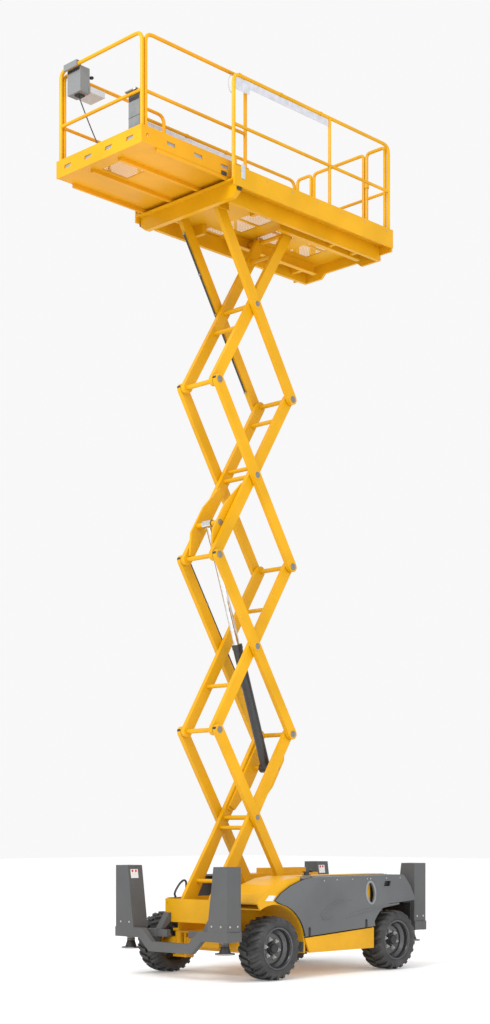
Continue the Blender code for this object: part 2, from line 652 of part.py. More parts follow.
def arm_outline(start, end, depth, end_steps=6):
    """A flat arm with round ends, in the XZ plane."""
    along = (end - start).normalized()
    across = Vector((-along.z, 0, along.x))
    points = []
    for centre, turn in ((end, 0.0), (start, math.pi)):
        for i in range(end_steps + 1):
            angle = turn + math.pi / 2 - math.pi * i / end_steps
            offset = along * math.cos(angle) + across * math.sin(angle)
            point = centre + offset * depth / 2
            points.append((point.x, point.z))
    return points


def arm_frame(foot, head):
    """The unit vector up an inner arm and the one square to it, towards the front."""
    along = (head - foot).normalized()
    return along, Vector((along.z, 0, -along.x))


def cross_bar(point, reach, radius, sides=20):
    """A round bar right across the machine."""
    return round_bar((point.x, point.z), "Y", -reach, reach, radius, sides)


BORE = TUBE_RADIUS + PIN_GAP
CENTRE_STUB_STAGE = 2
INNER_BRACES = {1: (0.13, 0.44), 2: (0.27, 0.735), 3: (0.56, 0.87), 4: (0.36, 0.86)}


def outer_arms(stage):
    """The pair of outer arms of a stage, from rear-bottom to front-top, with its cross tubes."""
    low, high = rear_pin(stage - 1), front_pin(stage)
    middle = (low + high) / 2
    arm_in = OUTER_HALF - ARM_WALL
    outline = arm_outline(low, high, ARM_DEPTH)
    pieces = [prism(outline, "Y", *span(side, arm_in, OUTER_HALF)) for side in (1, -1)]
    pieces.append(cross_bar(low, arm_in + 0.01, TUBE_RADIUS))
    pieces.append(cross_bar(high, arm_in + 0.01, TUBE_RADIUS))
    if stage == CENTRE_STUB_STAGE:
        for side in (1, -1):
            pieces.append(round_bar((middle.x, middle.z), "Y",
                                    *span(side, INNER_IN, arm_in + 0.01), TUBE_RADIUS))
    else:
        pieces.append(cross_bar(middle, arm_in + 0.01, TUBE_RADIUS))
    if stage == 1:
        for side in (1, -1):
            axle_low, axle_high = span(side, OUTER_HALF - 0.01, TRACK_IN + 0.012)
            pieces.append(round_bar((low.x, low.z), "Y", axle_low, axle_high, 0.020))
            roller_low, roller_high = span(side, TRACK_IN + 0.008, TRACK_IN + 0.008 + ROLLER_WIDTH)
            pieces.append(round_bar((low.x, low.z), "Y", roller_low, roller_high, ROLLER_RADIUS, 24))
    if stage == STAGES:
        for side in (1, -1):
            pieces.append(round_bar((high.x, high.z), "Y",
                                    *span(side, OUTER_HALF - 0.01, BRACKET_OUT), TUBE_RADIUS))
    pivot = (low + high) / 2
    piece("outer_arms_%d" % stage, YELLOW, pieces, pivot=pivot)


def inner_point(stage, fraction, offset):
    """A point on an inner arm, by its fraction from the foot and its offset to the front."""
    foot, head = front_pin(stage - 1), rear_pin(stage)
    along, across = arm_frame(foot, head)
    return foot + (head - foot) * fraction + across * offset


def inner_arms(stage):
    """The pair of inner arms of a stage, from front-bottom to rear-top, bored for the tubes."""
    foot, head = front_pin(stage - 1), rear_pin(stage)
    middle = (foot + head) / 2
    outline = arm_outline(foot, head, ARM_DEPTH)
    pieces = [prism(outline, "Y", *span(side, INNER_IN, INNER_OUT)) for side in (1, -1)]
    for fraction in INNER_BRACES[stage]:
        pieces.append(cross_bar(inner_point(stage, fraction, 0.0), INNER_IN + 0.01, BRACE_RADIUS))
    if stage == 1:
        foot_plate = [inner_point(1, f, o) for f, o in ((0.0, -0.076), (0.03, -0.082), (0.52, -0.050),
                                                        (0.52, 0.050), (0.03, 0.082), (0.0, 0.076),
                                                        (-0.025, 0.045), (-0.025, -0.045))]
        foot_plate = [(point.x, point.z) for point in foot_plate]
        for side in (1, -1):
            pieces.append(prism(foot_plate, "Y", *span(side, INNER_IN + 0.002, INNER_OUT - 0.002)))
    if stage in (1, 3):
        sign, ends = (-1, (0.56, 0.72, 0.88, 0.985)) if stage == 1 else (1, (0.44, 0.28, 0.12, 0.015))
        offset = sign * CYLINDER_OFFSET
        plate = [inner_point(stage, ends[0], sign * -0.040), inner_point(stage, ends[0], sign * 0.050),
                 inner_point(stage, ends[1], offset + sign * 0.045),
                 inner_point(stage, ends[2], offset + sign * 0.045),
                 inner_point(stage, ends[3], sign * 0.020),
                 inner_point(stage, ends[3], sign * -0.030)]
        plate = [(point.x, point.z) for point in plate]
        pin_fraction = CYLINDER_FRACTION if stage == 1 else 1 - CYLINDER_FRACTION
        pin = inner_point(stage, pin_fraction, offset)
        for side in (1, -1):
            pieces.append(prism(plate, "Y", *span(side, GUSSET_IN, GUSSET_OUT)))
            for at in ends[:2]:
                lug = inner_point(stage, at, 0.0)
                pieces.append(round_bar((lug.x, lug.z), "Y", *span(side, GUSSET_OUT - 0.01,
                                                                   INNER_IN + 0.01), 0.036, 12))
            if stage == 3:
                pieces.append(round_bar((pin.x, pin.z), "Y",
                                        *span(side, EYE_HALF + MOVE_GAP, GUSSET_IN + 0.01), 0.030))
        if stage == 1:
            pieces.append(cross_bar(pin, GUSSET_IN + 0.01, BRACE_RADIUS))
    bored = (foot, middle, head) if stage < STAGES else (foot, middle)
    cuts = [cross_bar(point, 0.4, BORE) for point in bored]
    if stage == STAGES:
        for side in (1, -1):
            pieces.append(round_bar((head.x, head.z), "Y",
                                    *span(side, INNER_OUT - 0.01, DECK_TRACK_IN + 0.010), 0.020))
            roller = span(side, DECK_TRACK_IN + 0.003, DECK_TRACK_IN + 0.003 + ROLLER_WIDTH - 0.002)
            pieces.append(round_bar((head.x, head.z), "Y", *roller, ROLLER_RADIUS, 24))
        pieces.append(cross_bar(head, INNER_IN + 0.01, TUBE_RADIUS))
    piece("inner_arms_%d" % stage, YELLOW, pieces, cuts, pivot=foot)


def base_pin():
    """The lift cylinder's lower pin."""
    return inner_point(1, CYLINDER_FRACTION, -CYLINDER_OFFSET)


def rod_pin():
    """The lift cylinder's upper pin."""
    return inner_point(3, 1 - CYLINDER_FRACTION, CYLINDER_OFFSET)


def lift_cylinder():
    """The lift cylinder's barrel, which turns on its base pin, and its rod."""
    base, top = base_pin(), rod_pin()
    along = (top - base).normalized()
    barrel = [
        bar_between(base + along * 0.02, base + along * BARREL_LENGTH, BARREL_RADIUS),
        cross_bar(base, EYE_HALF, BARREL_RADIUS),
    ]
    gland = BARREL_LENGTH - 0.05
    barrel.append(bar_between(base + along * gland, base + along * (BARREL_LENGTH - 0.002),
                              BARREL_RADIUS + 0.005))
    cuts = [bar_between(base + along * 0.070, base + along * (BARREL_LENGTH + 0.1),
                        ROD_RADIUS + 0.0005),
            cross_bar(base, 0.2, BRACE_RADIUS + PIN_GAP)]
    piece("lift_cylinder_barrel", STEEL, barrel, cuts, pivot=base)
    rod_length = (top - base).length - BARREL_LENGTH + ROD_ENGAGED
    rod = [bar_between(top - along * rod_length, top - along * 0.01, ROD_RADIUS),
           cross_bar(top, EYE_HALF, EYE_RADIUS)]
    piece("lift_cylinder_rod", CHROME, rod, pivot=top)


# ---------------------------------------------------------------- platform
CROSSBEAM_BACK = DECK_FRONT - 0.113
CROSSBEAM_FRONT = CROSSBEAM_BACK + 0.060
BRACKET_IN = OUTER_HALF + 0.006
DECK_TRACK_IN = OUTER_HALF + 0.007
BRACKET_OUT = OUTER_HALF + 0.030
DECK_TRACK_BOTTOM = TOP_Z - ROLLER_RADIUS - 0.0008
DECK_TRACK_FRONT = DECK_REAR + 1.390
DECK_UNDER = FLOOR_Z - FLOOR_WALL
JOISTS_X = (DECK_REAR + 0.240, DECK_REAR + 0.590, DECK_REAR + 1.790)
JOIST_IN = DECK_TRACK_IN + 0.051


def platform_deck():
    """Floor, skirts, long beams, joists, roller tracks and front pivot brackets."""
    pieces = [box((DECK_REAR, -DECK_HALF, DECK_UNDER), (DECK_FRONT, DECK_HALF, FLOOR_Z))]
    for side in (1, -1):
        low, high = span(side, DECK_HALF - 0.020, DECK_HALF)
        pieces.append(box((DECK_REAR, low, SKIRT_BOTTOM), (DECK_FRONT, high, TOE_TOP)))
        low, high = span(side, BEAM_HALF - 0.040, BEAM_HALF)
        pieces.append(box((DECK_REAR, low, BEAM_Z), (CROSSBEAM_BACK - GAP, high, DECK_UNDER + 0.004)))
        low, high = span(side, BEAM_HALF - 0.01, DECK_HALF - 0.01)
        pieces.append(box((DECK_REAR, low, BEAM_Z + 0.06), (DECK_REAR + 0.02, high, FLOOR_Z)))
        low, high = span(side, DECK_TRACK_IN, DECK_TRACK_IN + 0.058)
        pieces.append(box((DECK_REAR + 0.10, low, DECK_TRACK_BOTTOM - TRACK_WALL),
                          (DECK_TRACK_FRONT, high, DECK_TRACK_BOTTOM)))
        low, high = span(side, DECK_TRACK_IN + 0.046, DECK_TRACK_IN + 0.058)
        pieces.append(box((DECK_REAR + 0.10, low, DECK_TRACK_BOTTOM - TRACK_WALL),
                          (DECK_TRACK_FRONT, high, DECK_UNDER + 0.004)))
        low, high = span(side, BRACKET_IN, BRACKET_OUT)
        pieces.append(box((PIVOT_X - 0.10, low, TOP_Z - 0.050), (PIVOT_X + 0.06, high,
                                                                DECK_UNDER + 0.004)))
    rear_wall = [(-BEAM_HALF, BEAM_Z), (-0.30, BEAM_Z), (-0.24, BEAM_Z + 0.05), (0.24, BEAM_Z + 0.05),
                 (0.30, BEAM_Z), (BEAM_HALF, BEAM_Z), (BEAM_HALF, DECK_UNDER + 0.004),
                 (-BEAM_HALF, DECK_UNDER + 0.004)]
    pieces.append(prism(rear_wall, "X", DECK_REAR, DECK_REAR + 0.03))
    for x in JOISTS_X:
        for side in (1, -1):
            low, high = span(side, JOIST_IN, BEAM_HALF - 0.01)
            pieces.append(box((x, low, BEAM_Z + 0.05), (x + 0.05, high, DECK_UNDER + 0.004)))
    low_y = GATE_RIGHT - 0.02
    pieces.append(box((DECK_REAR, -DECK_HALF + 0.01, FLOOR_Z - 0.004), (DECK_REAR + 0.015, low_y,
                                                                       TOE_TOP)))
    pieces.append(box((DECK_REAR, GATE_LEFT + 0.02, FLOOR_Z - 0.004),
                      (DECK_REAR + 0.015, DECK_HALF - 0.01, TOE_TOP)))
    cuts = [cross_bar(front_pin(STAGES), 0.5, BORE)]
    piece("platform_deck", YELLOW, pieces, cuts)


def platform_crossbeam():
    """The full-width beam under the deck's front edge, on which the extension rolls."""
    half = DECK_HALF - 0.03
    outline = [(-half, DECK_UNDER - GAP), (-half, BEAM_Z + 0.06), (-half + 0.07, BEAM_Z + 0.01),
               (half - 0.07, BEAM_Z + 0.01), (half, BEAM_Z + 0.06), (half, DECK_UNDER - GAP)]
    piece("platform_crossbeam", YELLOW, [prism(outline, "X", CROSSBEAM_BACK, CROSSBEAM_FRONT)])


def rail_frame(name, corners, mids, posts, pivot=(0.0, 0.0, 0.0)):
    """A guard rail: a bent top tube, mid rails and posts."""
    pieces = [bent_tube(rounded_path(corners, RAIL_BEND), RAIL_RADIUS)]
    for start, end in mids + posts:
        pieces.append(bent_tube([start, end], RAIL_RADIUS - 0.002))
    return piece(name, YELLOW, pieces, pivot=pivot)


def platform_rails():
    """Side rails, the two fixed rear rails and the gate between them."""
    foot = TOE_TOP + GAP
    front, rear = DECK_FRONT - RAIL_RADIUS - 0.004, DECK_REAR + 0.015 + RAIL_RADIUS + GAP
    for side, name in ((1, "platform_left_rail"), (-1, "platform_right_rail")):
        y = side * (DECK_HALF - 0.020 - RAIL_RADIUS - GAP)
        base = FLOOR_Z + GAP
        corners = [(front, y, base), (front, y, RAIL_Z), (rear, y, RAIL_Z), (rear, y, base)]
        mids = [((front, y, MID_Z), (rear, y, MID_Z))]
        posts = [((MID_POST_X, y, base), (MID_POST_X, y, RAIL_Z))]
        rail_frame(name, corners, mids, posts)
    x = DECK_REAR + 0.015 + RAIL_RADIUS + GAP
    base = FLOOR_Z + GAP
    side_clear = DECK_HALF - 0.020 - 2 * RAIL_RADIUS - 0.012 - RAIL_RADIUS
    for near, far, name in ((GATE_LEFT + 0.022, side_clear, "platform_rear_left_rail"),
                            (GATE_RIGHT - 0.022, -side_clear, "platform_rear_right_rail")):
        corners = [(x, near, base), (x, near, RAIL_Z), (x, far, RAIL_Z), (x, far, base)]
        mids = [((x, near, MID_Z), (x, far, MID_Z))]
        pieces = [bent_tube(rounded_path(corners, 0.05), RAIL_RADIUS)]
        pieces += [bent_tube(list(pair), RAIL_RADIUS - 0.002) for pair in mids]
        piece(name, YELLOW, pieces)
    left, right = GATE_LEFT - 0.022, GATE_RIGHT + 0.022
    low = TOE_TOP - 0.03
    corners = [(x, left, low), (x, left, RAIL_Z), (x, right, RAIL_Z), (x, right, low)]
    pieces = [bent_tube(rounded_path(corners, 0.05), RAIL_RADIUS),
              bent_tube([(x, left, MID_Z), (x, right, MID_Z)], RAIL_RADIUS - 0.002),
              box((x - 0.008, right, FLOOR_Z + 0.012), (x + 0.008, left, TOE_TOP))]
    post = GATE_LEFT + 0.022
    for z in (MID_Z + 0.12, MID_Z - 0.30):
        pieces.append(round_bar((x, post), "Z", z, z + 0.06, RAIL_RADIUS + 0.008, 24))
        pieces.append(box((x - 0.008, left, z + 0.01), (x + 0.008, post - 0.012, z + 0.05)))
    cuts = [round_bar((x, post), "Z", FLOOR_Z, RAIL_Z, RAIL_RADIUS + PIN_GAP)]
    piece("platform_gate", YELLOW, pieces, cuts, pivot=(x, post, FLOOR_Z))


def extension():
    """The sliding deck extension with its rails, control box and document box."""
    under = EXT_FLOOR_Z - FLOOR_WALL
    pieces = [box((EXT_REAR, -EXT_HALF, under), (EXT_FRONT - 0.005, EXT_HALF, EXT_FLOOR_Z)),
              box((EXT_FRONT - 0.015, -EXT_HALF, under - 0.005), (EXT_FRONT, EXT_HALF, EXT_TOE_TOP))]
    for side in (1, -1):
        low, high = span(side, EXT_HALF - 0.012, EXT_HALF)
        pieces.append(box((EXT_REAR, low, under), (EXT_FRONT - 0.005, high, EXT_TOE_TOP)))
        low, high = span(side, 0.185, 0.225)
        pieces.append(box((EXT_REAR + 0.02, low, FLOOR_Z + MOVE_GAP), (EXT_FRONT - 0.10, high,
                                                                      under + 0.004)))
        low, high = span(side, EXT_HALF - 0.030, EXT_HALF - 0.004)
        pieces.append(box((EXT_REAR, low, FLOOR_Z + GAP), (EXT_FRONT - 0.20, high, under + 0.004)))
    slot_z = EXT_TOE_TOP - 0.085
    cuts = []
    for y in (-0.465, -0.155, 0.155, 0.465):
        hole = [(y - 0.055, slot_z - 0.018), (y + 0.045, slot_z - 0.018),
                (y + 0.055, slot_z + 0.018), (y - 0.045, slot_z + 0.018)]
        cuts.append(prism(hole, "X", EXT_FRONT - 0.1, EXT_FRONT + 0.1))
    for x in (EXT_REAR + 0.34, EXT_REAR + 0.70, EXT_REAR + 1.06):
        for side in (1, -1):
            hole = [(x - 0.060, slot_z - 0.018), (x + 0.050, slot_z - 0.018),
                    (x + 0.060, slot_z + 0.018), (x - 0.050, slot_z + 0.018)]
            cuts.append(prism(hole, "Y", *span(side, EXT_HALF - 0.1, EXT_HALF + 0.1)))
    for side in (1, -1):
        cuts.append(round_bar((EXT_FRONT - 0.075, slot_z), "Y",
                              *span(side, EXT_HALF - 0.1, EXT_HALF + 0.1), 0.017, 12))
    piece("extension_deck", YELLOW, pieces, cuts)
    base = EXT_FLOOR_Z + GAP
    y = EXT_HALF - 0.012 - RAIL_RADIUS - GAP
    front = EXT_FRONT - 0.015 - 3 * RAIL_RADIUS - 0.004
    back = EXT_REAR + RAIL_RADIUS + 0.004
    for side, name in ((1, "extension_left_rail"), (-1, "extension_right_rail")):
        corners = [(front, side * y, base), (front, side * y, EXT_RAIL_Z),
                   (back, side * y, EXT_RAIL_Z), (back, side * y, base)]
        mids = [((front, side * y, MID_Z), (back, side * y, MID_Z))]
        rail_frame(name, corners, mids, [])
    x = EXT_FRONT - 0.015 - RAIL_RADIUS - GAP
    corners = [(x, y, base), (x, y, EXT_RAIL_Z), (x, -y, EXT_RAIL_Z), (x, -y, base)]
    rail_frame("extension_front_rail", corners, [((x, y, MID_Z), (x, -y, MID_Z))], [])
    control_box(x)


BOX_Y = -0.43
DOC_Y = 0.47


def control_box(rail_x):
    """The control box hung on the front rail, its tray, cable and the document box."""
    top = EXT_RAIL_Z + RAIL_RADIUS + GAP + 0.012
    inside = rail_x - RAIL_RADIUS - GAP
    outside = rail_x + RAIL_RADIUS + GAP
    low, high = BOX_Y - 0.10, BOX_Y + 0.10
    pieces = [
        box((inside - 0.012, low, top - 0.045), (inside, high, top)),
        box((inside - 0.012, low, top - 0.012), (outside + 0.010, high, top)),
        box((outside, low, top - 0.060), (outside + 0.010, high, top)),
        box((inside - 0.120, low, top - 0.290), (inside, high, top - 0.040)),
        box((inside - 0.310, low - 0.01, top - 0.275), (inside - 0.110, high + 0.01, top - 0.215)),
    ]
    cuts = [box((inside - 0.300, low, top - 0.265), (inside - 0.125, high, top - 0.1))]
    piece("control_box", PLASTIC, pieces, cuts)
    doc_top = MID_Z + RAIL_RADIUS - 0.002 + GAP + 0.010
    pieces = [
        box((inside - 0.012, DOC_Y - 0.08, doc_top - 0.05), (inside, DOC_Y + 0.08, doc_top)),
        box((inside - 0.012, DOC_Y - 0.08, doc_top - 0.010), (outside + 0.010, DOC_Y + 0.08, doc_top)),
        box((inside - 0.050, DOC_Y - 0.08, doc_top - 0.400), (inside, DOC_Y + 0.08, doc_top - 0.045)),
    ]
    piece("document_box", PLASTIC, pieces)
    start = Vector((inside - 0.060, BOX_Y, top - 0.290 - GAP - 0.005))
    end = Vector((inside - 0.200, BOX_Y + 0.30, EXT_FLOOR_Z + 0.035 + GAP))
    path = []
    for i in range(25):
        t = i / 24
        sag = 0.06 * math.sin(math.pi * t)
        point = start.lerp(end, t)
        path.append(point + Vector((-sag * 0.6, -sag * 0.4, -sag * 0.8)))
    gland = round_bar((end.x, end.y), "Z", EXT_FLOOR_Z + GAP, end.z + 0.008, 0.014, 12)
    piece("control_cable", HOSE, [bent_tube(path, 0.006), gland])


# ---------------------------------------------------------------- build
for old in list(bpy.data.objects):
    bpy.data.objects.remove(old)
machine = bpy.data.objects.new("machine", None)
bpy.context.scene.collection.objects.link(machine)
machine.location = (-ORIGIN_X, 0.0, 0.0)

for place, (wheel_x, wheel_side) in WHEEL_PLACES.items():
    wheel(place, wheel_x, wheel_side)
front_axle()
rear_axle()
chassis_frame()
engine_block()
for one_side in (1, -1):
    knuckle(one_side)
    side_panel(one_side)
    hood(one_side)
stabiliser_beam("front_stabiliser_beam", STAB_FRONT_BACK, STAB_FRONT, True)
stabiliser_beam("rear_stabiliser_beam", STAB_REAR, STAB_REAR_FRONT, False)
for end, back, front in (("front", STAB_FRONT_BACK, STAB_FRONT),
                         ("rear", STAB_REAR, STAB_REAR_FRONT)):
    for one_side, word in ((1, "left"), (-1, "right")):
        stabiliser_cover("%s_%s_stabiliser_cover" % (end, word), back, front, one_side)
        jack("%s_%s_jack" % (end, word), back, front, one_side)
for number in range(1, STAGES + 1):
    outer_arms(number)
    inner_arms(number)
lift_cylinder()
platform_deck()
platform_crossbeam()
platform_rails()
extension()
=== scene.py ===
"""Finish, fittings, light and camera for a rough-terrain scissor lift.

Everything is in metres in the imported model's frame.  Places are written from midway between the
axles, as on the machine's own drawings, and at() moves them to the model's origin.
"""
import math

import bmesh
import bpy
from mathutils import Matrix, Vector


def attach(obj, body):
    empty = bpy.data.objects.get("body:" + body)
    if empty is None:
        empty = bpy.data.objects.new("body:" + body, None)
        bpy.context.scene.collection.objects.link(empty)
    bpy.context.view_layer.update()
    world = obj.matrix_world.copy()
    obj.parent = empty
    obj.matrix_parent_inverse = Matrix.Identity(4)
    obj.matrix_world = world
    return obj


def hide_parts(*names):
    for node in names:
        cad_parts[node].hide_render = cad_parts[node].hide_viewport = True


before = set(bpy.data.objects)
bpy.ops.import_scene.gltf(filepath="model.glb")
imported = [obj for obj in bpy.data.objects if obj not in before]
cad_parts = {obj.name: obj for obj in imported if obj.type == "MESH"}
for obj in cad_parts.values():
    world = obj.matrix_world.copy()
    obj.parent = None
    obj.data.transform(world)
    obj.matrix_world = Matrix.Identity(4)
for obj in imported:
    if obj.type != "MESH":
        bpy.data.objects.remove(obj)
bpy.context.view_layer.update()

AXLES_TO_ORIGIN = 0.517
SIDES = ((1, "left"), (-1, "right"))


def at(x, y, z):
    """A place on the machine in the model's frame."""
    return Vector((x - AXLES_TO_ORIGIN, y, z))


# ---- camera
def set_camera():
    """A long lens low in front of the machine's left corner."""
    data = bpy.data.cameras.new("view")
    camera = bpy.data.objects.new("view", data)
    bpy.context.scene.collection.objects.link(camera)
    camera.location = at(12.714, 12.112, 1.500)
    camera.rotation_euler = (math.radians(90), 0.0, math.radians(223.77 - 90))
    data.lens = 57.06
    data.sensor_width = 36.0
    data.shift_x = -0.0284
    data.shift_y = 0.3116
    data.clip_end = 200.0
    bpy.context.scene.camera = camera


set_camera()


# ---- shader maths
class Shade:
    """A socket that builds Math nodes from arithmetic."""

    def __init__(self, paint, socket):
        self.paint = paint
        self.socket = socket

    def _math(self, operation, one, two=None, clamp=False):
        values = {0: one} if two is None else {0: one, 1: two}
        return self.paint.node("ShaderNodeMath", {"operation": operation, "use_clamp": clamp},
                               values)[0]

    def __add__(self, other):
        return self._math("ADD", self, other)

    def __radd__(self, other):
        return self._math("ADD", other, self)

    def __sub__(self, other):
        return self._math("SUBTRACT", self, other)

    def __rsub__(self, other):
        return self._math("SUBTRACT", other, self)

    def __mul__(self, other):
        return self._math("MULTIPLY", self, other)

    def __rmul__(self, other):
        return self._math("MULTIPLY", other, self)

    def __truediv__(self, other):
        return self._math("DIVIDE", self, other)

    def __pow__(self, other):
        return self._math("POWER", self, other)

    def __lt__(self, other):
        return self._math("LESS_THAN", self, other)

    def __gt__(self, other):
        return self._math("GREATER_THAN", self, other)

    def highest(self, other):
        return self._math("MAXIMUM", self, other)

    def cut(self):
        return self._math("ADD", self, 0.0, clamp=True)

    def size(self):
        return self._math("ABSOLUTE", self)

    def ramp(self, low, high):
        return ((self - low) / (high - low)).cut()

    def every(self, pitch):
        """Distance from the middle of each repeat, from -0.5 to 0.5 pitches."""
        return self._math("FRACT", self / pitch + 0.5) - 0.5


class Paint:
    """A finish being mixed."""

    def __init__(self, name, colour, roughness, metallic=0.0, coat=0.0, coat_roughness=0.1):
        self.material = bpy.data.materials.new(name)
        self.material.use_nodes = True
        self.tree = self.material.node_tree
        self.shader = self.tree.nodes["Principled BSDF"]
        self.shader.inputs["Base Color"].default_value = (*colour, 1)
        self.shader.inputs["Roughness"].default_value = roughness
        self.shader.inputs["Metallic"].default_value = metallic
        self.shader.inputs["Coat Weight"].default_value = coat
        self.shader.inputs["Coat Roughness"].default_value = coat_roughness
        self.colour = colour
        self._place = None

    def node(self, kind, settings, values):
        """A node with its settings made first and then its sockets."""
        made = self.tree.nodes.new(kind)
        for key, value in settings.items():
            if key == "stops":
                for stop, (place, shade) in zip(made.color_ramp.elements, value):
                    stop.position, stop.color = place, shade
            else:
                setattr(made, key, value)
        for key, value in values.items():
            if isinstance(value, Shade):
                self.tree.links.new(value.socket, made.inputs[key])
            else:
                made.inputs[key].default_value = value
        return [Shade(self, socket) for socket in made.outputs if socket.enabled]

    def place(self):
        """The point on the piece, in metres."""
        if self._place is None:
            made = self.tree.nodes.new("ShaderNodeTexCoord")
            self._place = Shade(self, made.outputs["Object"])
        return self._place

    def axes(self):
        return self.node("ShaderNodeSeparateXYZ", {}, {0: self.place()})

    def noise(self, scale, detail=4.0, rough=0.55, seed=0.0):
        """Grey noise from 0 to 1 at a scale of cells a metre."""
        shifted = self.node("ShaderNodeVectorMath", {"operation": "ADD"},
                            {0: self.place(), 1: (seed, seed * 1.7, seed * 0.6)})[0]
        return self.node("ShaderNodeTexNoise", {},
                         {"Vector": shifted, "Scale": scale, "Detail": detail,
                          "Roughness": rough})[0]

    def cells(self, scale):
        return self.node("ShaderNodeTexVoronoi", {}, {"Vector": self.place(), "Scale": scale})[0]

    def mix(self, factor, one, two):
        """Two colours mixed."""
        made = self.tree.nodes.new("ShaderNodeMix")
        made.data_type = "RGBA"
        values = {0: factor, 6: one, 7: two}
        for key, value in values.items():
            if isinstance(value, Shade):
                self.tree.links.new(value.socket, made.inputs[key])
            elif key == 0:
                made.inputs[key].default_value = value
            else:
                made.inputs[key].default_value = (*value, 1)
        return Shade(self, made.outputs[2])

    def set(self, name, value):
        self.tree.links.new(value.socket, self.shader.inputs[name])

    def bump(self, height, distance, strength=1.0):
        normal = self.node("ShaderNodeBump", {}, {"Height": height, "Distance": distance,
                                                  "Strength": strength})[0]
        self.set("Normal", normal)

    def up(self):
        """How far the surface faces up, from -1 to 1."""
        normal = self.tree.nodes.new("ShaderNodeNewGeometry").outputs["Normal"]
        return self.node("ShaderNodeSeparateXYZ", {}, {0: Shade(self, normal)})[2]


def sprayed(name, colour, roughness, dust=0.15, chips=0.35, seed=0.0):
    """Sprayed enamel: slight shade changes, orange peel, dust low down and small chips."""
    paint = Paint(name, colour, roughness, coat=0.06, coat_roughness=0.12)
    paint.shader.inputs["Specular IOR Level"].default_value = 0.18
    broad = paint.noise(1.7, 3, 0.5, seed)
    fine = paint.noise(38, 4, 0.6, seed + 3)
    darker = tuple(c * 0.86 for c in colour)
    lighter = tuple(min(1.0, c * 1.06 + 0.004) for c in colour)
    shade = paint.mix(broad.ramp(0.30, 0.70), darker, lighter)
    height = paint.axes()[2]
    grime = ((1.15 - height).ramp(0.0, 1.1) * fine.ramp(0.38, 0.72) * dust).cut()
    shade = paint.mix(grime, shade, (0.16, 0.13, 0.095))
    speck = (paint.noise(260, 2, 0.6, seed + 9) - 0.735).ramp(0.0, 0.02) * chips
    shade = paint.mix(speck, shade, (0.05, 0.045, 0.04))
    paint.set("Base Color", shade)
    paint.set("Roughness", (fine * 0.16 + broad * 0.06 + (roughness - 0.09) + grime * 0.8).cut())
    paint.bump(paint.noise(210, 2, 0.5, seed + 5), 0.00035, 0.5)
    return paint


YELLOW = (0.700, 0.352, 0.0025)
EXT_YELLOW = (0.710, 0.325, 0.0040)
GREY = (0.118, 0.125, 0.132)
STAB_GREY = (0.098, 0.101, 0.104)

yellow = sprayed("yellow enamel", YELLOW, 0.34)
arm_yellow = sprayed("yellow arm enamel", YELLOW, 0.36, seed=4.0)
ext_yellow = sprayed("yellow extension enamel", EXT_YELLOW, 0.36, seed=7.0)
rail_yellow = sprayed("yellow rail enamel", YELLOW, 0.32, seed=11.0)
grey = sprayed("grey hood enamel", GREY, 0.40, dust=0.3, seed=2.0)
stab_grey = sprayed("grey stabiliser enamel", STAB_GREY, 0.44, dust=0.3, seed=5.0)


def perforated(name, colour, patches, pitch=0.024, hole=0.0085, seed=0.0):
    """Sprayed sheet with patches of round holes punched through it."""
    paint = sprayed(name, colour, 0.42, dust=0.2, seed=seed)
    x, y, _ = paint.axes()[:3]
    row_u, row_v = x.every(pitch) * pitch, y.every(pitch) * pitch
    round_hole = (row_u * row_u + row_v * row_v) < hole * hole
    mask = None
    for x0, x1, y0, y1 in patches:
        inside = (x > x0 - AXLES_TO_ORIGIN) * (x < x1 - AXLES_TO_ORIGIN) * (y > y0) * (y < y1)
        mask = inside if mask is None else mask.highest(inside)
    flat = (paint.up().size() > 0.9)
    paint.set("Alpha", 1.0 - round_hole * mask * flat)
    return paint


deck_patches = [(x, x + 0.30, y, y + 0.24) for x in (-0.72, -0.20, 0.32) for y in (-0.26, 0.02)]
deck_patches += [(x, x + 0.26, y, y + 0.14) for x in (-0.70, -0.15, 0.40) for y in (-0.52, 0.38)]
deck_paint = perforated("yellow deck sheet", YELLOW, deck_patches, seed=1.0)
ext_paint = perforated("yellow extension sheet", EXT_YELLOW, [(2.05, 2.38, -0.14, 0.14)], seed=8.0)


def rubber_finish():
    """Moulded tyre rubber with dust in its grain."""
    paint = Paint("tyre rubber", (0.024, 0.024, 0.025), 0.62)
    fine = paint.noise(90, 5, 0.65)
    broad = paint.noise(9, 3, 0.5, 4)
    shade = paint.mix(broad.ramp(0.35, 0.75), (0.020, 0.020, 0.021), (0.048, 0.047, 0.046))
    shade = paint.mix((fine.ramp(0.55, 0.8) * 0.35), shade, (0.11, 0.105, 0.098))
    paint.set("Base Color", shade)
    paint.set("Roughness", fine * 0.25 + 0.46)
    paint.bump(fine, 0.0012, 0.6)
    return paint


def metal(name, colour, roughness, metallic=1.0, grain=120, seed=0.0):
    """Bare or plated metal with fine handling marks."""
    paint = Paint(name, colour, roughness, metallic)
    fine = paint.noise(grain, 5, 0.6, seed)
    darker = tuple(c * 0.72 for c in colour)
    paint.set("Base Color", paint.mix(fine.ramp(0.35, 0.75), darker, colour))
    paint.set("Roughness", (fine * 0.22 + (roughness - 0.08)).cut())
    paint.bump(paint.noise(grain * 2.5, 2, 0.5, seed + 2), 0.0003, 0.3)
    return paint


def moulded(name, colour, roughness, seed=0.0):
    """Moulded plastic with a fine leather grain."""
    paint = Paint(name, colour, roughness)
    grain = paint.cells(420)
    broad = paint.noise(14, 3, 0.5, seed)
    darker = tuple(c * 0.8 for c in colour)
    paint.set("Base Color", paint.mix(broad.ramp(0.3, 0.7), darker, colour))
    paint.set("Roughness", (broad * 0.14 + (roughness - 0.07)).cut())
    paint.bump(grain, 0.0004, 0.4)
    return paint


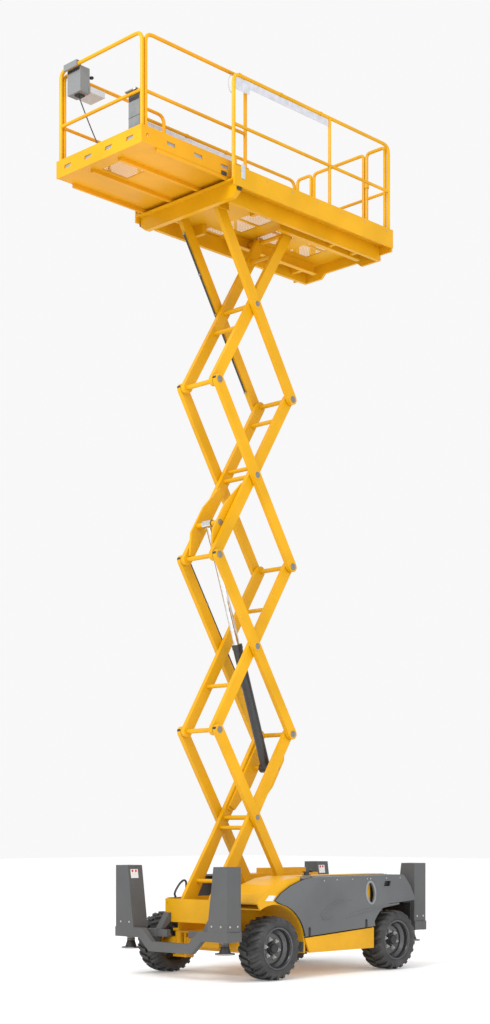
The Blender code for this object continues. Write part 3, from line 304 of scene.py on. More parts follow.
rubber = rubber_finish()
rim_paint = metal("dark rim enamel", (0.130, 0.130, 0.134), 0.27, 0.80, 60)
bolt_steel = metal("zinc bolts", (0.62, 0.61, 0.58), 0.30, 1.0, 400)
pin_steel = metal("pin heads", (0.34, 0.33, 0.31), 0.38, 1.0, 200, 3)
chrome = metal("chromed rod", (0.80, 0.81, 0.82), 0.13, 1.0, 30)
barrel_paint = metal("dark cylinder enamel", (0.050, 0.052, 0.055), 0.34, 0.3, 40)
black_paint = metal("black foot enamel", (0.028, 0.028, 0.029), 0.42, 0.2, 60)
engine_iron = metal("engine casting", (0.10, 0.10, 0.105), 0.55, 0.5, 30)
# also used for the painted shadow strips where the rail crosses the control and document boxes
liner_and_shadow_black = moulded("black liner and painted shadow", (0.022, 0.022, 0.023), 0.62)
hose_rubber = moulded("hose rubber", (0.026, 0.026, 0.028), 0.48, 2.0)
pad_black = moulded("black pads", (0.030, 0.030, 0.031), 0.55, 5.0)
box_plastic = moulded("grey box plastic", (0.190, 0.198, 0.200), 0.46, 1.0)
label_red = moulded("label red", (0.60, 0.020, 0.018), 0.40, 6.5)
tray_plastic = moulded("pale tray plastic", (0.52, 0.54, 0.56), 0.42, 3.0)
white_film = moulded("white film", (0.80, 0.80, 0.80), 0.38, 6.0)
console = moulded("console plastic", (0.190, 0.198, 0.200), 0.46, 1.5)
TRAY_FROM = 2.365
tray_mask = console.axes()[0] < TRAY_FROM - AXLES_TO_ORIGIN
console.set("Base Color", console.mix(tray_mask, (0.185, 0.193, 0.196), (0.50, 0.52, 0.54)))
clear_strip = moulded("frosted strip", (0.60, 0.61, 0.67), 0.34, 9.0)
bezel_grey = moulded("grip bezel", (0.255, 0.265, 0.270), 0.42, 11.0)
zinc = metal("galvanised plate", (0.52, 0.53, 0.54), 0.40, 0.85, 25, 6)

FINISHES = {
    "chassis_frame": yellow, "front_axle": yellow, "rear_axle": yellow,
    "left_side_panel": yellow, "right_side_panel": yellow, "engine_block": engine_iron,
    "left_knuckle": yellow, "right_knuckle": yellow, "left_hood": grey, "right_hood": grey,
    "lift_cylinder_barrel": barrel_paint, "lift_cylinder_rod": chrome,
    "platform_deck": deck_paint, "platform_crossbeam": yellow, "platform_gate": rail_yellow,
    "extension_deck": ext_paint, "control_box": console, "document_box": box_plastic,
    "control_cable": hose_rubber,
}
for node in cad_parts:
    if node in FINISHES:
        chosen = FINISHES[node]
    elif node.endswith("_tyre"):
        chosen = rubber
    elif node.endswith("_rim"):
        chosen = rim_paint
    elif "stabiliser" in node:
        chosen = stab_grey
    elif node.endswith("_jack"):
        chosen = black_paint
    elif "arms" in node:
        chosen = arm_yellow
    elif "extension" in node:
        chosen = ext_yellow
    else:
        chosen = rail_yellow
    shown = bpy.data.objects[node]
    shown.data.materials.clear()
    shown.data.materials.append(chosen.material)


# ---- mesh makers
def finished(name, bm, paint, body, smooth=35):
    """A piece from a bmesh, riding on a body."""
    bmesh.ops.remove_doubles(bm, verts=bm.verts, dist=1e-5)
    bmesh.ops.recalc_face_normals(bm, faces=bm.faces)
    mesh = bpy.data.meshes.new(name)
    bm.to_mesh(mesh)
    bm.free()
    mesh.materials.append(paint.material)
    mesh.shade_smooth()
    mesh.set_sharp_from_angle(angle=math.radians(smooth))
    made = bpy.data.objects.new(name, mesh)
    bpy.context.scene.collection.objects.link(made)
    if body is not None:
        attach(made, body)
    return made


def add_block(bm, low, high, bevel=0.002, spin=None):
    """A block with softened edges added to a bmesh."""
    low, high = Vector(low), Vector(high)
    centre, size = (low + high) / 2, high - low
    turn = spin if spin is not None else Matrix.Identity(4)
    place = Matrix.Translation(centre) @ turn @ Matrix.Diagonal((*size, 1.0))
    made = bmesh.ops.create_cube(bm, size=1.0, matrix=place)
    edges = list(dict.fromkeys(edge for vert in made["verts"] for edge in vert.link_edges))
    if bevel:
        bmesh.ops.bevel(bm, geom=edges, offset=bevel, segments=2, profile=0.6, affect="EDGES")


def add_side_block(bm, side, inner, outer, bevel):
    """A block on one side of the machine, its corners given for the left side."""
    low, high = sorted((side * inner[1], side * outer[1]))
    add_block(bm, at(inner[0], low, inner[2]), at(outer[0], high, outer[2]), bevel)


def add_turned(bm, profile, centre, axis, sides=24, closed=True):
    """A profile of (radius, distance along the axis) turned about an axis."""
    axis = Vector(axis).normalized()
    side = axis.orthogonal().normalized()
    other = axis.cross(side)
    rings = []
    for radius, along in profile:
        if radius < 1e-6:
            rings.append([bm.verts.new(centre + axis * along)])
            continue
        rings.append([bm.verts.new(centre + axis * along
                                   + (side * math.cos(t) + other * math.sin(t)) * radius)
                      for t in (2 * math.pi * i / sides for i in range(sides))])
    pairs = list(zip(rings, rings[1:]))
    if closed:
        pairs.append((rings[-1], rings[0]))
    for one, two in pairs:
        for i in range(sides):
            j = (i + 1) % sides
            corners = [one[i % len(one)], one[j % len(one)], two[j % len(two)], two[i % len(two)]]
            corners = list(dict.fromkeys(corners))
            if len(corners) > 2:
                bm.faces.new(corners)


def skin(bm, rings):
    """Faces between neighbouring rings of points."""
    for one, two in zip(rings, rings[1:]):
        for i in range(len(one)):
            j = (i + 1) % len(one)
            bm.faces.new((one[i], one[j], two[j], two[i]))


def add_tube(bm, points, radius, sides=10):
    """A capped round tube along points."""
    points = [Vector(point) for point in points]
    steps = [(b - a).normalized() for a, b in zip(points, points[1:])]
    side = steps[0].orthogonal().normalized()
    rings = []
    for i, point in enumerate(points):
        along = (steps[max(i - 1, 0)] + steps[min(i, len(steps) - 1)]).normalized()
        side = (side - along * side.dot(along)).normalized()
        other = along.cross(side)
        rings.append([bm.verts.new(point + (side * math.cos(t) + other * math.sin(t)) * radius)
                      for t in (2 * math.pi * k / sides for k in range(sides))])
    skin(bm, rings)
    bm.faces.new(rings[0])
    bm.faces.new(rings[-1])


def add_sheet(bm, outline, normal, thick):
    """A flat plate from an outline and the way that it faces."""
    normal = Vector(normal).normalized()
    low = [bm.verts.new(Vector(point)) for point in outline]
    high = [bm.verts.new(Vector(point) + normal * thick) for point in outline]
    bm.faces.new(low)
    bm.faces.new(high)
    for i in range(len(low)):
        j = (i + 1) % len(low)
        bm.faces.new((low[i], low[j], high[j], high[i]))


def smooth_path(points, steps=8):
    """A smooth curve through points."""
    points = [Vector(point) for point in points]
    padded = [points[0] * 2 - points[1]] + points + [points[-1] * 2 - points[-2]]
    path = []
    for a, b, c, d in zip(padded, padded[1:], padded[2:], padded[3:]):
        for i in range(steps):
            t = i / steps
            path.append(0.5 * ((2 * b) + (c - a) * t + (2 * a - 5 * b + 4 * c - d) * t * t
                               + (3 * b - a - 3 * c + d) * t ** 3))
    path.append(points[-1])
    return path


# ---- repeats
def new_tree(name, sockets):
    """A geometry tree with named inputs and one geometry output."""
    tree = bpy.data.node_groups.new(name, "GeometryNodeTree")
    tree.interface.new_socket("Geometry", in_out="OUTPUT", socket_type="NodeSocketGeometry")
    for label, kind in sockets:
        tree.interface.new_socket(label, in_out="INPUT", socket_type=kind)
    return tree


def tree_node(tree, kind, settings, values):
    """A geometry node with its settings made first and then its sockets."""
    made = tree.nodes.new(kind)
    for key, value in settings.items():
        setattr(made, key, value)
    for key, value in values.items():
        if isinstance(value, bpy.types.NodeSocket):
            tree.links.new(value, made.inputs[key])
        else:
            made.inputs[key].default_value = value
    return made


def scatter_tree(name, ring):
    """Copies of a shape in a ring about the wheel's axle, or in a straight row."""
    sockets = [("Shape", "NodeSocketObject"), ("Finish", "NodeSocketMaterial"),
               ("Count", "NodeSocketInt"), ("Start", "NodeSocketVector"),
               ("Step", "NodeSocketVector"), ("Turn", "NodeSocketFloat")]
    tree = new_tree(name, sockets)
    given = tree.nodes.new("NodeGroupInput").outputs
    result = tree.nodes.new("NodeGroupOutput")
    points = tree_node(tree, "GeometryNodePoints", {}, {"Count": given["Count"]}).outputs[0]
    index = tree.nodes.new("GeometryNodeInputIndex").outputs[0]
    shape = tree_node(tree, "GeometryNodeObjectInfo", {}, {"Object": given["Shape"]})
    if ring:
        share = tree_node(tree, "ShaderNodeMath", {"operation": "DIVIDE"},
                          {0: index, 1: given["Count"]}).outputs[0]
        angle = tree_node(tree, "ShaderNodeMath", {"operation": "MULTIPLY_ADD"},
                          {0: share, 1: 2 * math.pi, 2: given["Turn"]}).outputs[0]
        turn = tree_node(tree, "ShaderNodeCombineXYZ", {}, {1: angle}).outputs[0]
        place = given["Start"]
    else:
        moved = tree_node(tree, "ShaderNodeVectorMath", {"operation": "SCALE"},
                          {0: given["Step"], "Scale": index}).outputs[0]
        place = tree_node(tree, "ShaderNodeVectorMath", {"operation": "ADD"},
                          {0: given["Start"], 1: moved}).outputs[0]
        turn = tree_node(tree, "ShaderNodeCombineXYZ", {}, {}).outputs[0]
    placed = tree_node(tree, "GeometryNodeSetPosition", {},
                       {"Geometry": points, "Position": place}).outputs[0]
    copies = tree_node(tree, "GeometryNodeInstanceOnPoints", {},
                       {"Points": placed, "Instance": shape.outputs["Geometry"],
                        "Rotation": turn}).outputs[0]
    real = tree_node(tree, "GeometryNodeRealizeInstances", {}, {"Geometry": copies}).outputs[0]
    painted = tree_node(tree, "GeometryNodeSetMaterial", {},
                        {"Geometry": real, "Material": given["Finish"]}).outputs[0]
    tree.links.new(painted, result.inputs[0])
    return tree


RING = scatter_tree("ring of copies", True)
ROW = scatter_tree("row of copies", False)


def repeat(name, tree, bm, paint, body, count, start=(0, 0, 0), step=(0, 0, 0), turn=0.0):
    """Copies of one shape made by a tree, as one plain piece."""
    shape = finished(name + "_shape", bm, paint, None)
    host = bpy.data.objects.new(name + "_host", bpy.data.meshes.new(name))
    bpy.context.scene.collection.objects.link(host)
    modifier = host.modifiers.new("copies", "NODES")
    modifier.node_group = tree
    values = {"Shape": shape, "Finish": paint.material, "Count": count, "Start": start,
              "Step": step, "Turn": turn}
    for item in tree.interface.items_tree:
        if item.in_out == "INPUT":
            modifier[item.identifier] = values[item.name]
    bpy.context.view_layer.update()
    grown = host.evaluated_get(bpy.context.evaluated_depsgraph_get())
    mesh = bpy.data.meshes.new_from_object(grown)
    bpy.data.objects.remove(host)
    bpy.data.objects.remove(shape)
    mesh.name = name
    made = bpy.data.objects.new(name, mesh)
    bpy.context.scene.collection.objects.link(made)
    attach(made, body)
    return made


# ---- wheels
AXLE_X, TYRE_R, TYRE_OUT, TYRE_W = 0.935, 0.320, 0.900, 0.290
DISC_OUT = TYRE_OUT - 0.105
BOLT_PITCH = 0.094


def tread_bar(side_out):
    """One skewed tread bar that runs over a shoulder, drawn at the top of a wheel."""
    bm = bmesh.new()
    rows = ((0.008, 0.3000, 0.3195, 0.042, 0.020), (0.060, 0.3000, 0.3198, 0.028, 0.021),
            (0.108, 0.2960, 0.3170, 0.010, 0.021), (0.132, 0.2880, 0.3080, -0.004, 0.020),
            (0.1435, 0.2740, 0.2860, -0.010, 0.016), (0.1440, 0.2640, 0.2660, -0.012, 0.010))
    rings = []
    for across, low, high, lead, half in rows:
        y = side_out * across
        rings.append([bm.verts.new((x, y, z)) for x, z in
                      ((lead - half - 0.004, low - 0.012), (lead + half + 0.004, low - 0.012),
                       (lead + half - 0.002, high), (lead - half + 0.002, high))])
    skin(bm, rings)
    bm.faces.new(rings[0])
    bm.faces.new(rings[-1])
    return bm


def tyre(body, x, side):
    """A lugged tyre with ribs round its bead in place of the plain solid."""
    node = body.replace("_wheel", "_tyre")
    centre = at(x, side * (TYRE_OUT - TYRE_W / 2), TYRE_R)
    profile = [(0.2156, -0.128), (0.232, -0.141), (0.262, -0.1445), (0.285, -0.138),
               (0.297, -0.118),
               (0.3005, -0.070), (0.3015, 0.0), (0.3005, 0.070), (0.297, 0.118), (0.285, 0.138),
               (0.264, 0.1435), (0.252, 0.1448), (0.248, 0.1432), (0.242, 0.1448), (0.236, 0.1425),
               (0.229, 0.1435), (0.224, 0.138), (0.2156, 0.130)]
    bm = bmesh.new()
    add_turned(bm, profile, centre, (0, side, 0), 72)
    carcass = finished(node + "_carcass", bm, rubber, body)
    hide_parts(node)
    for out, turn in ((1, 0.0), (-1, math.pi / 22)):
        lugs = repeat("%s_lugs_%s" % (node, "out" if out > 0 else "in"), RING,
                      tread_bar(out * side), rubber, body, 22, centre, turn=turn)


def rim_fittings(body, x, side):
    """Stepped rim liner, wheel bolts and hub cap."""
    name = body.replace("_wheel", "")
    face = at(x, side * DISC_OUT, TYRE_R)
    out = Vector((0, side, 0))
    liner = [(0.1960, 0.020), (0.1945, 0.030), (0.1900, 0.036), (0.1905, 0.050), (0.1925, 0.058),
             (0.1930, 0.074), (0.1975, 0.080), (0.1985, 0.088), (0.2090, 0.0925), (0.2140, 0.0930),
             (0.2140, 0.0905), (0.2040, 0.0860)]
    bm = bmesh.new()
    add_turned(bm, liner, face, out, 64)
    dish = [(0.166, 0.0005), (0.150, 0.004), (0.128, 0.0055), (0.118, 0.003), (0.112, 0.0005)]
    add_turned(bm, dish, face, out, 64)
    finished(name + "_rim_beads", bm, rim_paint, body)
    bm = bmesh.new()
    nut = Vector((0, side * DISC_OUT, BOLT_PITCH))
    add_turned(bm, [(0.0, 0.0), (0.021, 0.0), (0.021, 0.004), (0.0, 0.004)], nut, out, 16)
    add_turned(bm, [(0.0, 0.004), (0.0165, 0.004), (0.0165, 0.018), (0.012, 0.021), (0.009, 0.021),
                    (0.009, 0.030), (0.0, 0.032)], nut, out, 6)
    repeat(name + "_wheel_bolts", RING, bm, bolt_steel, body, 6, at(x, 0, TYRE_R), turn=0.31)
    bm = bmesh.new()
    add_turned(bm, [(0.0, 0.0), (0.052, 0.0), (0.052, 0.012), (0.046, 0.020), (0.020, 0.024),
                    (0.0, 0.0245)], at(x, side * (DISC_OUT + 0.0285), TYRE_R), out, 32)
    finished(name + "_hub_cap", bm, black_paint, body)


for end, x in (("front", AXLE_X), ("rear", -AXLE_X)):
    for side, word in SIDES:
        tyre("%s_%s_wheel" % (end, word), x, side)
        rim_fittings("%s_%s_wheel" % (end, word), x, side)


# ---- scissor
STAGES = 4
ARM = 2.09
RAISED = math.radians(58.6)
PITCH, SPAN = ARM * math.sin(RAISED), ARM * math.cos(RAISED)
PIVOT_X, PIVOT_Z = 1.170, 0.750
OUT_Y = 0.290                # the outer arms' outer faces
TOP_Z = PIVOT_Z + STAGES * PITCH
FLOOR_Z = TOP_Z + 0.076


def front_corner(level, y=0.0):
    return at(PIVOT_X, y, PIVOT_Z + level * PITCH)


def rear_corner(level, y=0.0):
    return at(PIVOT_X - SPAN, y, PIVOT_Z + level * PITCH)


def pin_cap(bm, centre, out, radius=0.026, rise=1.0):
    """A pin's head plate with its keeper bolt."""
    add_turned(bm, [(0.0, 0.0), (radius + 0.010, 0.0), (radius + 0.010, 0.004 * rise),
                    (radius, 0.0065 * rise), (radius * 0.55, 0.0075 * rise),
                    (radius * 0.45, 0.005 * rise), (0.0, 0.005 * rise)], centre, out, 24)
    bolt = centre + Vector((0.012, 0, 0.018))
    add_turned(bm, [(0.0, 0.005 * rise), (0.006, 0.005 * rise), (0.006, 0.009 * rise),
                    (0.0, 0.0095 * rise)], bolt, out, 6)


for stage in range(1, STAGES + 1):
    low, high = rear_corner(stage - 1), front_corner(stage)
    middle = (low + high) / 2
    bm = bmesh.new()
    bolts = bmesh.new()
    for side in (1, -1):
        out = (0, side, 0)
        for point in (low, high, middle):
            if stage == 1 and point == low or stage == STAGES and point == high:
                continue
            pin_cap(bm, point + Vector((0, side * OUT_Y, 0)), out,
                    rise=0.40 if stage in (1, STAGES) else 1.0)
        along = (high - low).normalized()
        boss = [(0.0, 0.0), (0.050, 0.0), (0.050, 0.003), (0.046, 0.0045), (0.030, 0.0045),
                (0.030, 0.0), (0.0, 0.0)]
        add_turned(bolts, boss, middle + Vector((0, side * OUT_Y, 0)), out, 32)
    finished("stage_%d_pin_heads" % stage, bm, pin_steel, "outer_%d" % stage)
    finished("stage_%d_bosses" % stage, bolts, arm_yellow, "outer_%d" % stage)
    if stage < STAGES:
        bm = bmesh.new()
        for side in (1, -1):
            for point, lean in ((high, 1), (low if stage > 1 else high, -1)):
                centre = point + Vector((0.030 * lean, side * (OUT_Y - 0.025), 0))
                spin = Matrix.Rotation(RAISED, 4, "Y")
                reach = Vector((0.012, 0.021, 0.034))
                add_block(bm, centre - reach, centre + reach, 0.004, spin)
        finished("stage_%d_stop_pads" % stage, bm, pad_black, "outer_%d" % stage)


def arm_point(stage, outer, fraction, lift, y):
    """A point by an arm: its fraction from the foot and its height over the middle line."""
    if outer:
        foot, head = rear_corner(stage - 1), front_corner(stage)
        over = Vector((-math.sin(RAISED), 0, math.cos(RAISED)))
    else:
        foot, head = front_corner(stage - 1), rear_corner(stage)
        over = Vector((math.sin(RAISED), 0, math.cos(RAISED)))
    point = foot.lerp(head, fraction) + over * lift
    return point + Vector((0, y, 0))


def hose_run(name, body, stage, outer, stretch, lift, y, radius=0.011, sway=0.012):
    """A hose clipped along an arm."""
    start, end = stretch
    points = []
    for i in range(9):
        t = i / 8
        bend = sway * math.sin(math.pi * t * 2)
        points.append(arm_point(stage, outer, start + (end - start) * t, lift + bend, y))
    bm = bmesh.new()
    add_tube(bm, smooth_path(points, 4), radius, 10)
    finished(name, bm, hose_rubber, body)
    clips = bmesh.new()
    along = (points[-1] - points[0]).normalized()
    for i in (0, 2, 4, 6, 8):
        ring = [(radius, -0.008), (radius + 0.004, -0.008), (radius + 0.004, 0.008),
                (radius, 0.008)]
        add_turned(clips, ring, points[i], along, 16)
    finished(name + "_clips", clips, pin_steel, body)


HOSE_Y = 0.168               # just inside the inner arms
EDGE_Y, EDGE_LIFT = 0.258, 0.0765    # along an outer arm's edge, clear of the next stage
hose_run("stage_2_hose", "outer_2", 2, True, (0.06, 0.97), EDGE_LIFT, -EDGE_Y, 0.010, 0.0)
hose_run("stage_4_hose", "outer_4", 4, True, (0.10, 0.93), -EDGE_LIFT, -EDGE_Y, 0.010, 0.0)
hose_run("stage_3_hose", "inner_3", 3, False, (0.20, 0.43), 0.030, HOSE_Y, 0.004)
hose_run("stage_1_hose", "inner_1", 1, False, (0.10, 0.92), -0.074, HOSE_Y, 0.009)


def pin_pads():
    """Dark cushions on the third stage's plates and the caps of the lift cylinder's pins."""
    bm = bmesh.new()
    for y in (-0.190, 0.190):
        centre = arm_point(3, False, 0.225, 0.030, y)
        reach = Vector((0.024, 0.013, 0.026))
        add_block(bm, centre - reach, centre + reach, 0.005, Matrix.Rotation(RAISED, 4, "Y"))
    finished("stage_3_cushions", bm, pad_black, "inner_3")
    bm = bmesh.new()
    for side in (1, -1):
        centre = arm_point(3, False, 0.175, 0.085, side * 0.176)
        add_turned(bm, [(0.0, 0.0), (0.034, 0.0), (0.034, 0.0025), (0.026, 0.004), (0.012, 0.004),
                        (0.010, 0.0025), (0.0, 0.0025)], centre, (0, side, 0), 28)
    finished("cylinder_top_pin_caps", bm, pin_steel, "inner_3")
    bm = bmesh.new()
    for side in (1, -1):
        centre = arm_point(1, False, 0.825, -0.085, side * 0.176)
        add_turned(bm, [(0.0, 0.0), (0.030, 0.0), (0.030, 0.005), (0.022, 0.008), (0.0, 0.008)],
                   centre, (0, side, 0), 28)
    finished("cylinder_base_pin_caps", bm, pin_steel, "inner_1")


pin_pads()


# ---- side hoods
HOOD_FACE = 0.858
FRONT_ARCH, REAR_ARCH, ARCH_LIP = 0.450, 0.405, 0.006


GRIP_X, GRIP_Z, GRIP_HALF_X, GRIP_HALF_Z = -0.530, 0.842, 0.058, 0.105


def add_ridge(bm, path, side, half, rise):
    """A pressed crease on a hood's outer face that fades out at both ends."""
    rows = []
    for i, (x, z) in enumerate(path):
        before, after = path[max(i - 1, 0)], path[min(i + 1, len(path) - 1)]
        along = Vector((after[0] - before[0], 0, after[1] - before[1])).normalized()
        across = Vector((-along.z, 0, along.x))
        share = math.sin(math.pi * min(max(i / (len(path) - 1), 0.04), 0.96)) ** 0.5
        base = at(x, side * (HOOD_FACE - 0.001), z)
        up = Vector((0, side, 0)) * (rise * share + 0.001)
        width = across * half * (0.35 + 0.65 * share)
        rows.append([bm.verts.new(point) for point in
                     (base - width, base - width * 0.3 + up, base + width * 0.45 + up * 0.8,
                      base + width)])
    skin(bm, rows)
    bm.faces.new(rows[0])
    bm.faces.new(rows[-1])


def crease(points, steps=8):
    """A smooth path of (x, z) through given points."""
    return [(point.x, point.z) for point in smooth_path([(x, 0, z) for x, z in points], steps)]


HOOK_LINE = [(0.060, 0.604), (0.150, 0.590), (0.222, 0.590), (0.248, 0.628), (0.185, 0.684),
             (0.085, 0.738), (-0.060, 0.768), (-0.244, 0.774)]
WAIST_LINE = [(-0.119, 0.581), (-0.262, 0.622), (-0.480, 0.655), (-0.739, 0.687), (-1.004, 0.712)]


def grip_loop(grow):
    """The outline of the hood's hand hole, grown outwards."""
    points = []
    for i in range(40):
        t = 2 * math.pi * i / 40
        points.append((GRIP_X + (GRIP_HALF_X + grow) * math.cos(t) + 0.012 * math.sin(t),
                       GRIP_Z + (GRIP_HALF_Z + grow) * math.sin(t)))
    return points


def add_grip_bezel(bm, side):
    """A raised oval lip round the hand hole."""
    levels = ((0.001, -0.002), (0.003, 0.008), (0.011, 0.012), (0.022, 0.007), (0.026, -0.002))
    rings = []
    for grow, proud in levels:
        y = side * (HOOD_FACE + proud)
        rings.append([bm.verts.new(at(x, y, z)) for x, z in grip_loop(grow)])
    skin(bm, rings + rings[:1])


def hood_trim(side, word):
    """Creases, hand hole, latches, rivets and edge strips of one hood."""
    body = word + "_hood"
    bm = bmesh.new()
    add_ridge(bm, crease(WAIST_LINE), side, 0.017, 0.013)
    add_ridge(bm, crease(HOOK_LINE), side, 0.014, 0.012)
    finished(word + "_hood_creases", bm, grey, body, 60)
    bm = bmesh.new()
    add_grip_bezel(bm, side)
    finished(word + "_grip_bezel", bm, bezel_grey, body, 60)
    bm = bmesh.new()
    add_side_block(bm, side, (-0.570, 0.806, 0.715), (-0.450, 0.812, 0.965), 0.002)
    finished(word + "_grip_plate", bm, yellow, body)
    bm = bmesh.new()
    add_side_block(bm, side, (-0.640, 0.776, 0.690), (-0.440, 0.805, 0.985), 0.003)
    add_side_block(bm, side, (-0.885, 0.820, 0.890), (-0.730, 0.826, 0.975), 0.002)
    finished(word + "_grip_liner", bm, liner_and_shadow_black, body)
    bm = bmesh.new()
    low, high = sorted((side * (HOOD_FACE - 0.001), side * (HOOD_FACE + 0.009)))
    for x, z in ((0.440, 0.462), (-0.454, 0.510)):
        if side > 0 or x < 0:
            add_block(bm, at(x - 0.012, low, z - 0.042), at(x + 0.012, high, z + 0.042), 0.003)
            add_block(bm, at(x - 0.007, low, z + 0.030), at(x + 0.007, high + 0.003, z + 0.050),
                      0.002)
    finished(word + "_hood_latches", bm, liner_and_shadow_black, body)
    bm = bmesh.new()
    dome = [(0.0, -0.001), (0.0075, -0.001), (0.0070, 0.002), (0.004, 0.0038), (0.0, 0.0042)]
    for x in (0.214, 0.015, -0.233, -0.472, -0.527, -0.790, -1.020):
        z = 0.992 if x < 0.1 else 0.985
        add_turned(bm, dome, at(x, side * HOOD_FACE, z), (0, side, 0), 12)
    finished(word + "_hood_rivets", bm, bolt_steel, body)
    bm = bmesh.new()
    y = side * (HOOD_FACE - 0.008)
    if side > 0:
        arch = [at(AXLE_X + FRONT_ARCH * math.cos(t), y, TYRE_R + FRONT_ARCH * math.sin(t))
                for t in (math.radians(101 + 65 * i / 16) for i in range(17))]
        nose = [at(x, y, z) for x, z in ((0.945, 0.800), (0.860, 0.872), (0.720, 0.942),
                                         (0.560, 0.995), (0.400, 1.026))]
        add_tube(bm, arch[::-1] + nose, ARCH_LIP, 8)
    rear = [at(-AXLE_X + REAR_ARCH * math.cos(t), y, TYRE_R + REAR_ARCH * math.sin(t))
            for t in (math.radians(32 + 46 * i / 10) for i in range(11))]
    add_tube(bm, rear, ARCH_LIP * 0.8, 8)
    finished(word + "_hood_edge_strips", bm, liner_and_shadow_black, body)
    bm = bmesh.new()
    add_side_block(bm, side, (-1.050, 0.632, 1.0225), (0.300, 0.646, 1.0290), 0.002)
    finished(word + "_hood_seal", bm, liner_and_shadow_black, body)


for side, word in SIDES:
    hood_trim(side, word)


# ---- chassis fittings
def mudguards():
    """Black guards behind the rear wheels, a grey stone guard behind the left front one."""
    for side, word in SIDES:
        bm = bmesh.new()
        add_side_block(bm, side, (-1.276, 0.386, 0.392), (-1.264, 0.805, 0.720), 0.003)
        add_side_block(bm, side, (-1.276, 0.386, 0.714), (-1.150, 0.805, 0.726), 0.003)
        finished(word + "_mudguard", bm, liner_and_shadow_black, "chassis")
        if side > 0:
            bm = bmesh.new()
            add_block(bm, at(0.464, 0.720, 0.256), at(0.500, 0.828, 0.366), 0.006)
            finished(word + "_stone_guard", bm, stab_grey, "chassis")


COVER_LEAN = (0, 0.990, 0.138)           # the inner face of a right-hand cover


def cover_place(x, z):
    """A point on the sloping inner face of a right-hand cover."""
    return at(x, (-0.4732 - COVER_LEAN[2] * z) / COVER_LEAN[1], z)


def cover_fittings():
    """Flange bolts, blank labels and their red dots on the stabiliser covers."""
    head = [(0.0, -0.001), (0.011, -0.001), (0.011, 0.004), (0.008, 0.006), (0.0, 0.006)]
    for end, x, facing in (("front", 1.600, 1), ("rear", -1.506, -1)):
        bm = bmesh.new()
        for side in (1, -1):
            for y in (0.615, 0.745):
                add_turned(bm, head, at(x, side * y, 0.560), (facing, 0, 0), 12)
            for dx in (0.045, 0.150):
                add_turned(bm, head, at(x - facing * dx, side * 0.825, 0.560), (0, side, 0), 12)
        finished(end + "_cover_bolts", bm, bolt_steel, "chassis")
    for name, x in (("front", 1.600), ("rear", -1.309)):
        bm = bmesh.new()
        add_sheet(bm, [cover_place(x - back, z) for back, z in ((0.030, 1.012), (0.030, 1.104),
                                                                (0.132, 1.104), (0.132, 1.012))],
                  COVER_LEAN, 0.0012)
        finished(name + "_blank_label", bm, white_film, "chassis")
        bm = bmesh.new()
        for back in (0.056, 0.102):
            add_turned(bm, [(0.0, 0.0), (0.0130, 0.0), (0.0130, 0.0022), (0.0, 0.0022)],
                       cover_place(x - back, 1.086), COVER_LEAN, 20)
        finished(name + "_label_dots", bm, label_red, "chassis")


def beam_fittings():
    """Jack collars on the stabiliser beams, and a rim and boot on each jack's foot."""
    collar = [(0.0345, 0.0), (0.050, 0.0), (0.050, 0.006), (0.042, 0.014), (0.0345, 0.014)]
    for end, x in (("front", 1.5015), ("rear", -1.4075)):
        bm = bmesh.new()
        for side in (1, -1):
            add_turned(bm, collar, at(x, side * 0.700, 0.405), (0, 0, -1), 28)
        finished(end + "_jack_collars", bm, pin_steel, "chassis")
        for side, word in SIDES:
            bm = bmesh.new()
            lip = [(0.092, 0.0005), (0.099, 0.0020), (0.1005, 0.0070), (0.0985, 0.0145),
                   (0.092, 0.0150)]
            add_turned(bm, lip, at(x, side * 0.700, 0.280), (0, 0, 1), 40)
            boot = [(0.0325, 0.0), (0.045, 0.0), (0.040, 0.008), (0.045, 0.016), (0.039, 0.024),
                    (0.043, 0.032), (0.0325, 0.034)]
            add_turned(bm, boot, at(x, side * 0.700, 0.3605), (0, 0, 1), 28)
            finished("%s_%s_foot_rim" % (end, word), bm, pin_steel, "%s_%s_jack" % (end, word))


def steering_gear():
    """The steering ram and its hoses on the front axle."""
    bm = bmesh.new()
    along = (0, 1, 0)
    add_turned(bm, [(0.0, -0.21), (0.033, -0.21), (0.033, -0.185), (0.028, -0.180), (0.028, 0.180),
                    (0.033, 0.185), (0.033, 0.21), (0.0, 0.21)], at(0.852, 0.0, 0.330), along, 24)
    finished("steering_ram", bm, barrel_paint, "chassis")
    bm = bmesh.new()
    for side in (1, -1):
        add_turned(bm, [(0.0, 0.208), (0.014, 0.208), (0.014, 0.372), (0.0, 0.374)],
                   at(0.852, 0.0, 0.330), (0, side, 0), 16)
    finished("steering_ram_rods", bm, chrome, "chassis")
    bm = bmesh.new()
    for side in (1, -1):
        add_tube(bm, smooth_path([at(0.852, side * 0.16, 0.356), at(0.835, side * 0.15, 0.390),
                                  at(0.790, side * 0.12, 0.410),
                                  at(0.720, side * 0.10, 0.436)], 6),
                 0.009, 8)
    finished("steering_hoses", bm, hose_rubber, "chassis")


